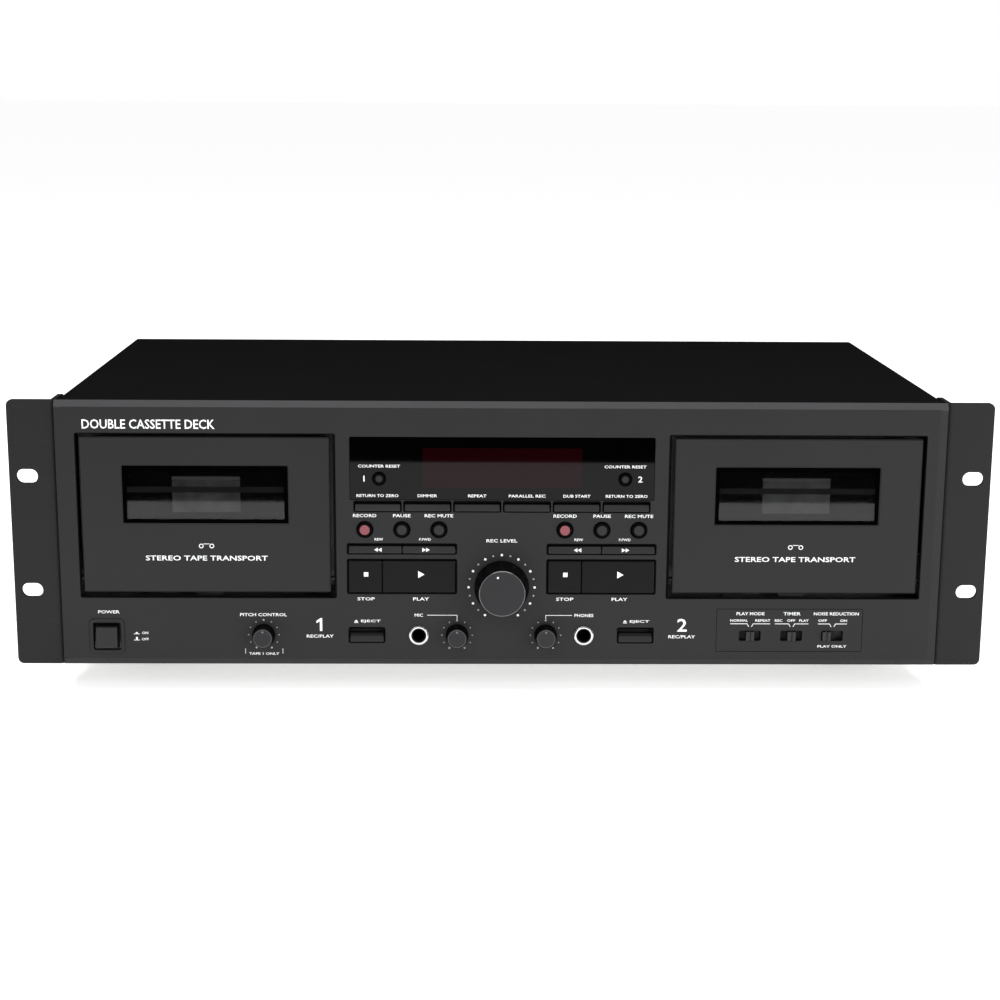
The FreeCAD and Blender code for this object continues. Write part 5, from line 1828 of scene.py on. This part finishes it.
@dataclass
class FrontSockets:
    """The nuts and the contacts of the two front sockets."""

    inks: dict[str, bpy.types.Material]

    def build(self) -> None:
        """Give each socket a turned nut, a lining and a contact spring."""
        low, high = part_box("front_jacks")
        face = panel_face()
        up = (low.z + high.z) / 2
        nut = [(3.70, -0.98), (3.78, -1.35), (4.3, -1.38), (4.75, -1.02), (4.4, -0.98)]
        lining = [(3.195, -0.98), (3.195, 22), (3.14, 22), (3.14, -1.12), (3.74, -1.12), (3.74, -0.98)]
        for number, across in enumerate((low.x + JACK_INSET, high.x - JACK_INSET), start=1):
            spot = (across, up)
            collar = Solid().turned([(radius * MM, face + along * MM) for radius, along in nut], spot, 64)
            nickel = self.inks["socket_nickel"]
            collar.settle(f"socket_nut_{number}", CASE, nickel, "socket_nickel", smooth=True)
            tube = Solid().turned([(radius * MM, face + along * MM) for radius, along in lining], spot, 48)
            tube.settle(f"socket_lining_{number}", CASE, self.inks["well_black"])
            spring = Solid().block((across - 0.8 * MM, face + 8 * MM, up + 2.7 * MM),
                                   (across + 0.8 * MM, face + 18 * MM, up + 3.1 * MM))
            spring.settle(f"socket_contact_{number}", CASE, self.inks["contact_gold"])


@dataclass
class CaseScrews:
    """The case's pan-head screws with their cross recesses."""

    inks: dict[str, bpy.types.Material]
    head: float = 3.4 * MM
    thick: float = 1.9 * MM
    arm: float = 1.75 * MM
    slot: float = 0.42 * MM
    depth: float = 1.1 * MM
    seed: int = 11

    def pattern(self) -> bpy.types.Object:
        """One screw, its head on top, whose shoulder is at the origin.

        Returns:
            The screw, as a working object.
        """
        thick, head = self.thick, self.head
        profile = [(0.4 * MM, thick), (1.6 * MM, thick - 0.04 * MM), (2.6 * MM, thick - 0.30 * MM),
                   (3.2 * MM, thick - 0.85 * MM), (head, thick - 1.5 * MM), (head, 0.0), (1.5 * MM, 0.0),
                   (1.5 * MM, -8.0 * MM), (0.6 * MM, -9.0 * MM)]
        solid = Solid().domed([(radius, -height) for radius, height in profile], (0.0, 0.0), 28)
        screw = self.loose("screw_pattern", solid)
        arm, slot = self.arm, self.slot
        cross = [(arm, -slot), (arm, slot), (slot, slot), (slot, arm), (-slot, arm), (-slot, slot),
                 (-arm, slot), (-arm, -slot), (-slot, -slot), (-slot, -arm), (slot, -arm), (slot, -slot)]
        recess = Solid()
        top, floor = -thick - MM, self.depth - thick
        recess.prism(cross, top, floor)
        cutter = self.loose("recess_pattern", recess)
        cut = screw.modifiers.new("recess", "BOOLEAN")
        cut.object = cutter
        cut.solver = "EXACT"
        graph = bpy.context.evaluated_depsgraph_get()
        mesh = bpy.data.meshes.new_from_object(screw.evaluated_get(graph))
        mesh.transform(Matrix.Rotation(-math.pi / 2, 4, "X"))
        bpy.data.objects.remove(cutter)
        bpy.data.objects.remove(screw)
        whole = bpy.data.objects.new("screw_whole", mesh)
        bpy.context.scene.collection.objects.link(whole)
        return whole

    def loose(self, name: str, solid: Solid) -> bpy.types.Object:
        """Make a working object that isn't a piece yet.

        Args:
            name: Its name.
            solid: Its shape.

        Returns:
            The object.
        """
        bmesh.ops.recalc_face_normals(solid.mesh, faces=solid.mesh.faces)
        mesh = bpy.data.meshes.new(name)
        solid.mesh.to_mesh(mesh)
        solid.mesh.free()
        loose = bpy.data.objects.new(name, mesh)
        bpy.context.scene.collection.objects.link(loose)
        return loose

    def seats(self) -> bpy.types.Mesh:
        """Find where each screw of the frame's own node sits.

        Returns:
            A point where each head meets the sheet metal, with its outward direction.
        """
        copy = bmesh.new()
        copy.from_mesh(frame["nodes"]["case_screws"].data)
        bmesh.ops.remove_doubles(copy, verts=copy.verts, dist=0.002 * MM)
        points, outward = [], []
        for island in self.islands(copy):
            low = Vector(min(v.co[axis] for v in island) for axis in range(3))
            high = Vector(max(v.co[axis] for v in island) for axis in range(3))
            middle = (low + high) / 2
            axis = max(range(3), key=lambda number: (high - low)[number])
            away = Vector((0, 0, 0))
            away[axis] = 1.0 if middle[axis] > 0 else -1.0
            tip = high[axis] if away[axis] > 0 else low[axis]
            seat = middle.copy()
            seat[axis] = tip - away[axis] * self.thick
            points.append(seat)
            outward.append(away)
        copy.free()
        mesh = bpy.data.meshes.new("screw_seats")
        mesh.from_pydata(points, [], [])
        direction = mesh.attributes.new("outward", "FLOAT_VECTOR", "POINT")
        direction.data.foreach_set("vector", [part for vector in outward for part in vector])
        return mesh

    def islands(self, copy: bmesh.types.BMesh) -> list[list[bmesh.types.BMVert]]:
        """Sort a mesh into its separate solids.

        Args:
            copy: The mesh.

        Returns:
            The vertices of each solid.
        """
        waiting = set(copy.verts)
        found = []
        while waiting:
            stack = [waiting.pop()]
            island = []
            while stack:
                vertex = stack.pop()
                island.append(vertex)
                for edge in vertex.link_edges:
                    other = edge.other_vert(vertex)
                    if other in waiting:
                        waiting.discard(other)
                        stack.append(other)
            found.append(island)
        return found

    def build(self) -> None:
        """Seat every screw."""
        pattern = self.pattern()
        values = {"Screw": pattern, "Seed": self.seed, "Material": self.inks["screw_black"]}
        mesh = screw_tree().grow(values, self.seats())
        bpy.data.objects.remove(pattern)
        black = self.inks["screw_black"]
        piece = Solid().add(mesh).settle("case_screw_set", CASE, black, "screw_black", smooth=True)
        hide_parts("case_screws")


@dataclass
class RearSockets:
    """The phono sockets' coloured collars and the rear panel's printing."""

    inks: dict[str, bpy.types.Material]
    half_pitch: float = 7.0 * MM
    half_block: float = 16.0 * MM
    cap: float = 2.2 * MM

    def blocks(self) -> list[Vector]:
        """Find the two blocks of four sockets.

        Returns:
            The middle of each block's rear face.
        """
        low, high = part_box("phono_jacks")
        up = (low.z + high.z) / 2
        return [Vector((low.x + self.half_block, high.y, up)), Vector((high.x - self.half_block, high.y, up))]

    def collars(self, plate: float) -> None:
        """The coloured collars and the white insulators.

        Args:
            plate: The y of the rear panel's outer face.
        """
        red, white, pins = Solid(), Solid(), Solid()
        nose = self.blocks()[0].y
        collar = [(4.2, 1.95), (5.6, 1.95), (5.6, 2.7), (5.2, 3.0), (4.2, 3.0)]
        collar = [(radius * MM, plate + along * MM) for radius, along in collar]
        insulator = [(1.6, -0.3), (3.3, -0.3), (3.3, 0.02), (1.6, 0.02)]
        insulator = [(radius * MM, nose + along * MM) for radius, along in insulator]
        for block in self.blocks():
            for column in (-1, 1):
                for row, colour in ((-1, red), (1, white)):
                    spot = (block.x + column * self.half_pitch, block.z + row * self.half_pitch)
                    colour.turned(collar, spot, 40)
                    pins.turned(insulator, spot, 32)
        red.settle("phono_collars_right", CASE, self.inks["jack_red"], smooth=True)
        white.settle("phono_collars_left", CASE, self.inks["jack_white"], smooth=True)
        pins.settle("phono_insulators", CASE, self.inks["jack_white"], smooth=True)

    def printing(self, plate: float) -> None:
        """The words beside the sockets and over the mains inlet.

        Args:
            plate: The y of the rear panel's outer face.
        """
        ink = Print(plate, rear=True)
        for block, title in zip(self.blocks(), ("TAPE 1", "TAPE 2")):
            for column, words in ((-1, "OUT"), (1, "IN")):
                ink.words(words, block.x + column * self.half_pitch, block.z + 19.0 * MM, 2.0 * MM)
            ink.words(title, block.x, block.z + 23.4 * MM, self.cap)
            for row, words in ((1, "L"), (-1, "R")):
                ink.words(words, block.x + 19.0 * MM, block.z + row * self.half_pitch, self.cap)
        inlet = middle_of("mains_inlet")
        ink.words("AC IN", inlet.x, inlet.z + 17.0 * MM, 2.4 * MM)
        ink.solid.settle("rear_printing", CASE, self.inks["legend_ink"])

    def build(self) -> None:
        """Dress the rear panel."""
        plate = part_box("rear_panel")[1].y
        self.printing(plate)
        self.collars(plate)


@dataclass
class Studio:
    """A plain pale floor, soft light and the camera."""

    place: Colour = (-20.5 * MM, -1152.6 * MM, 290.8 * MM)
    yaw: float = 1.184
    pitch: float = 14.066
    roll: float = 0.3995
    lens: float = 76.22
    shift: Point = (-0.0027, 0.1234)
    table_edge: float = 0.67

    def camera(self) -> None:
        """The camera, in front of the deck and a little above it."""
        yaw, pitch, roll = (math.radians(angle) for angle in (self.yaw, self.pitch, self.roll))
        ahead = Vector((math.sin(yaw) * math.cos(pitch), math.cos(yaw) * math.cos(pitch), -math.sin(pitch)))
        right = Vector((math.cos(yaw), -math.sin(yaw), 0.0))
        up = right.cross(ahead)
        across = math.cos(roll) * right + math.sin(roll) * up
        upward = math.cos(roll) * up - math.sin(roll) * right
        data = bpy.data.cameras.new("camera")
        data.lens, data.sensor_width = self.lens, 36.0
        data.shift_x, data.shift_y = self.shift
        camera = bpy.data.objects.new("camera", data)
        turn = Matrix((across, upward, -ahead)).transposed().to_4x4()
        camera.matrix_world = Matrix.Translation(self.place) @ turn
        bpy.context.scene.collection.objects.link(camera)
        bpy.context.scene.camera = camera

    def sheet(self, name: str, low: Point, high: Point, height: float, paint: Finish) -> bpy.types.Object:
        """A level sheet of the set.

        Args:
            name: Its name.
            low: Its lowest x and y.
            high: Its highest x and y.
            height: Its z.
            paint: Its finish.

        Returns:
            The sheet, marked as no part of the deck.
        """
        corners = [(low[0], low[1], height), (high[0], low[1], height), (high[0], high[1], height),
                   (low[0], high[1], height)]
        mesh = bpy.data.meshes.new(name)
        mesh.from_pydata(corners, [], [(0, 1, 2, 3)])
        mesh.materials.append(paint.build())
        sheet = bpy.data.objects.new(name, mesh)
        bpy.context.scene.collection.objects.link(sheet)
        return sheet

    def lamp(self, name: str, place: Colour, size: Point, power: float) -> None:
        """A soft rectangular light aimed at the deck.

        Args:
            name: Its name.
            place: Where it stands.
            size: Its width and height.
            power: Its watts.
        """
        data = bpy.data.lights.new(name, "AREA")
        data.shape = "RECTANGLE"
        data.size, data.size_y = size
        data.energy = power
        lamp = bpy.data.objects.new(name, data)
        lamp.location = place
        aim = Vector((0.0, 0.0, 0.07)) - Vector(place)
        lamp.rotation_mode = "QUATERNION"
        lamp.rotation_quaternion = aim.to_track_quat("-Z", "Y")
        bpy.context.scene.collection.objects.link(lamp)

    def surroundings(self) -> None:
        """A pale backdrop that polished faces see as a dark room."""
        world = bpy.data.worlds.new("room")
        world.use_nodes = True
        tree = world.node_tree
        tree.nodes.clear()
        pale, dim, dark = (tree.nodes.new("ShaderNodeBackground") for _ in range(3))
        for background, level in ((pale, 1.0), (dim, 0.62), (dark, 0.012)):
            background.inputs["Color"].default_value = (level, level, level, 1.0)
        path = tree.nodes.new("ShaderNodeLightPath")
        lit, seen = tree.nodes.new("ShaderNodeMixShader"), tree.nodes.new("ShaderNodeMixShader")
        tree.links.new(path.outputs["Is Glossy Ray"], lit.inputs[0])
        tree.links.new(dim.outputs[0], lit.inputs[1])
        tree.links.new(dark.outputs[0], lit.inputs[2])
        tree.links.new(path.outputs["Is Camera Ray"], seen.inputs[0])
        tree.links.new(lit.outputs[0], seen.inputs[1])
        tree.links.new(pale.outputs[0], seen.inputs[2])
        output = tree.nodes.new("ShaderNodeOutputWorld")
        tree.links.new(seen.outputs[0], output.inputs["Surface"])
        bpy.context.scene.world = world

    def build(self) -> None:
        """Set up the studio."""
        self.camera()
        white = Finish("studio_floor", (0.86, 0.86, 0.86), 0.9, mottle=0.01, scuffs=0.0, specular=0.1,
                       glow=0.47)
        black = Finish("studio_card", (0.004, 0.004, 0.004), 0.9, mottle=0.0, scuffs=0.0, specular=0.0)
        floor, card_width = 60.0, 8.0
        self.sheet("floor", (-floor, -floor), (floor, floor), -0.2 * MM, white)
        far = panel_face() - self.table_edge
        card = self.sheet("floor_card", (-card_width, -card_width), (card_width, far), 0.5 * MM, black)
        card.visible_camera = card.visible_diffuse = card.visible_shadow = card.visible_transmission = False
        self.surroundings()
        self.lamp("key_light", (-0.6, -1.6, 1.2), (1.6, 1.0), 13.0)
        self.lamp("fill_light", (1.2, -1.3, 0.45), (1.0, 0.7), 12.0)
        self.lamp("top_light", (0.0, 0.1, 1.8), (2.0, 1.0), 32.0)
        bpy.context.scene.view_settings.view_transform = "Standard"


def main() -> None:
    """Build every sub-assembly in order."""
    logging.basicConfig(level=logging.INFO, format="%(name)s: %(message)s")
    Studio().build()
    book = FinishBook()
    book.build()
    inks = book.made
    PanelPrint(inks).build()
    DisplayPrint(inks).build()
    Scales(inks).build()
    Knobs(inks).build()
    KeyMarks(inks).build()
    for side in Side:
        Door(side, inks).build()
        Well(side, inks).build()
    PaintedShadeSurrounds(inks).build()
    PowerBezel(inks).build()
    FrontSockets(inks).build()
    CaseScrews(inks).build()
    RearSockets(inks).build()


if __name__ == "__main__":
    main()
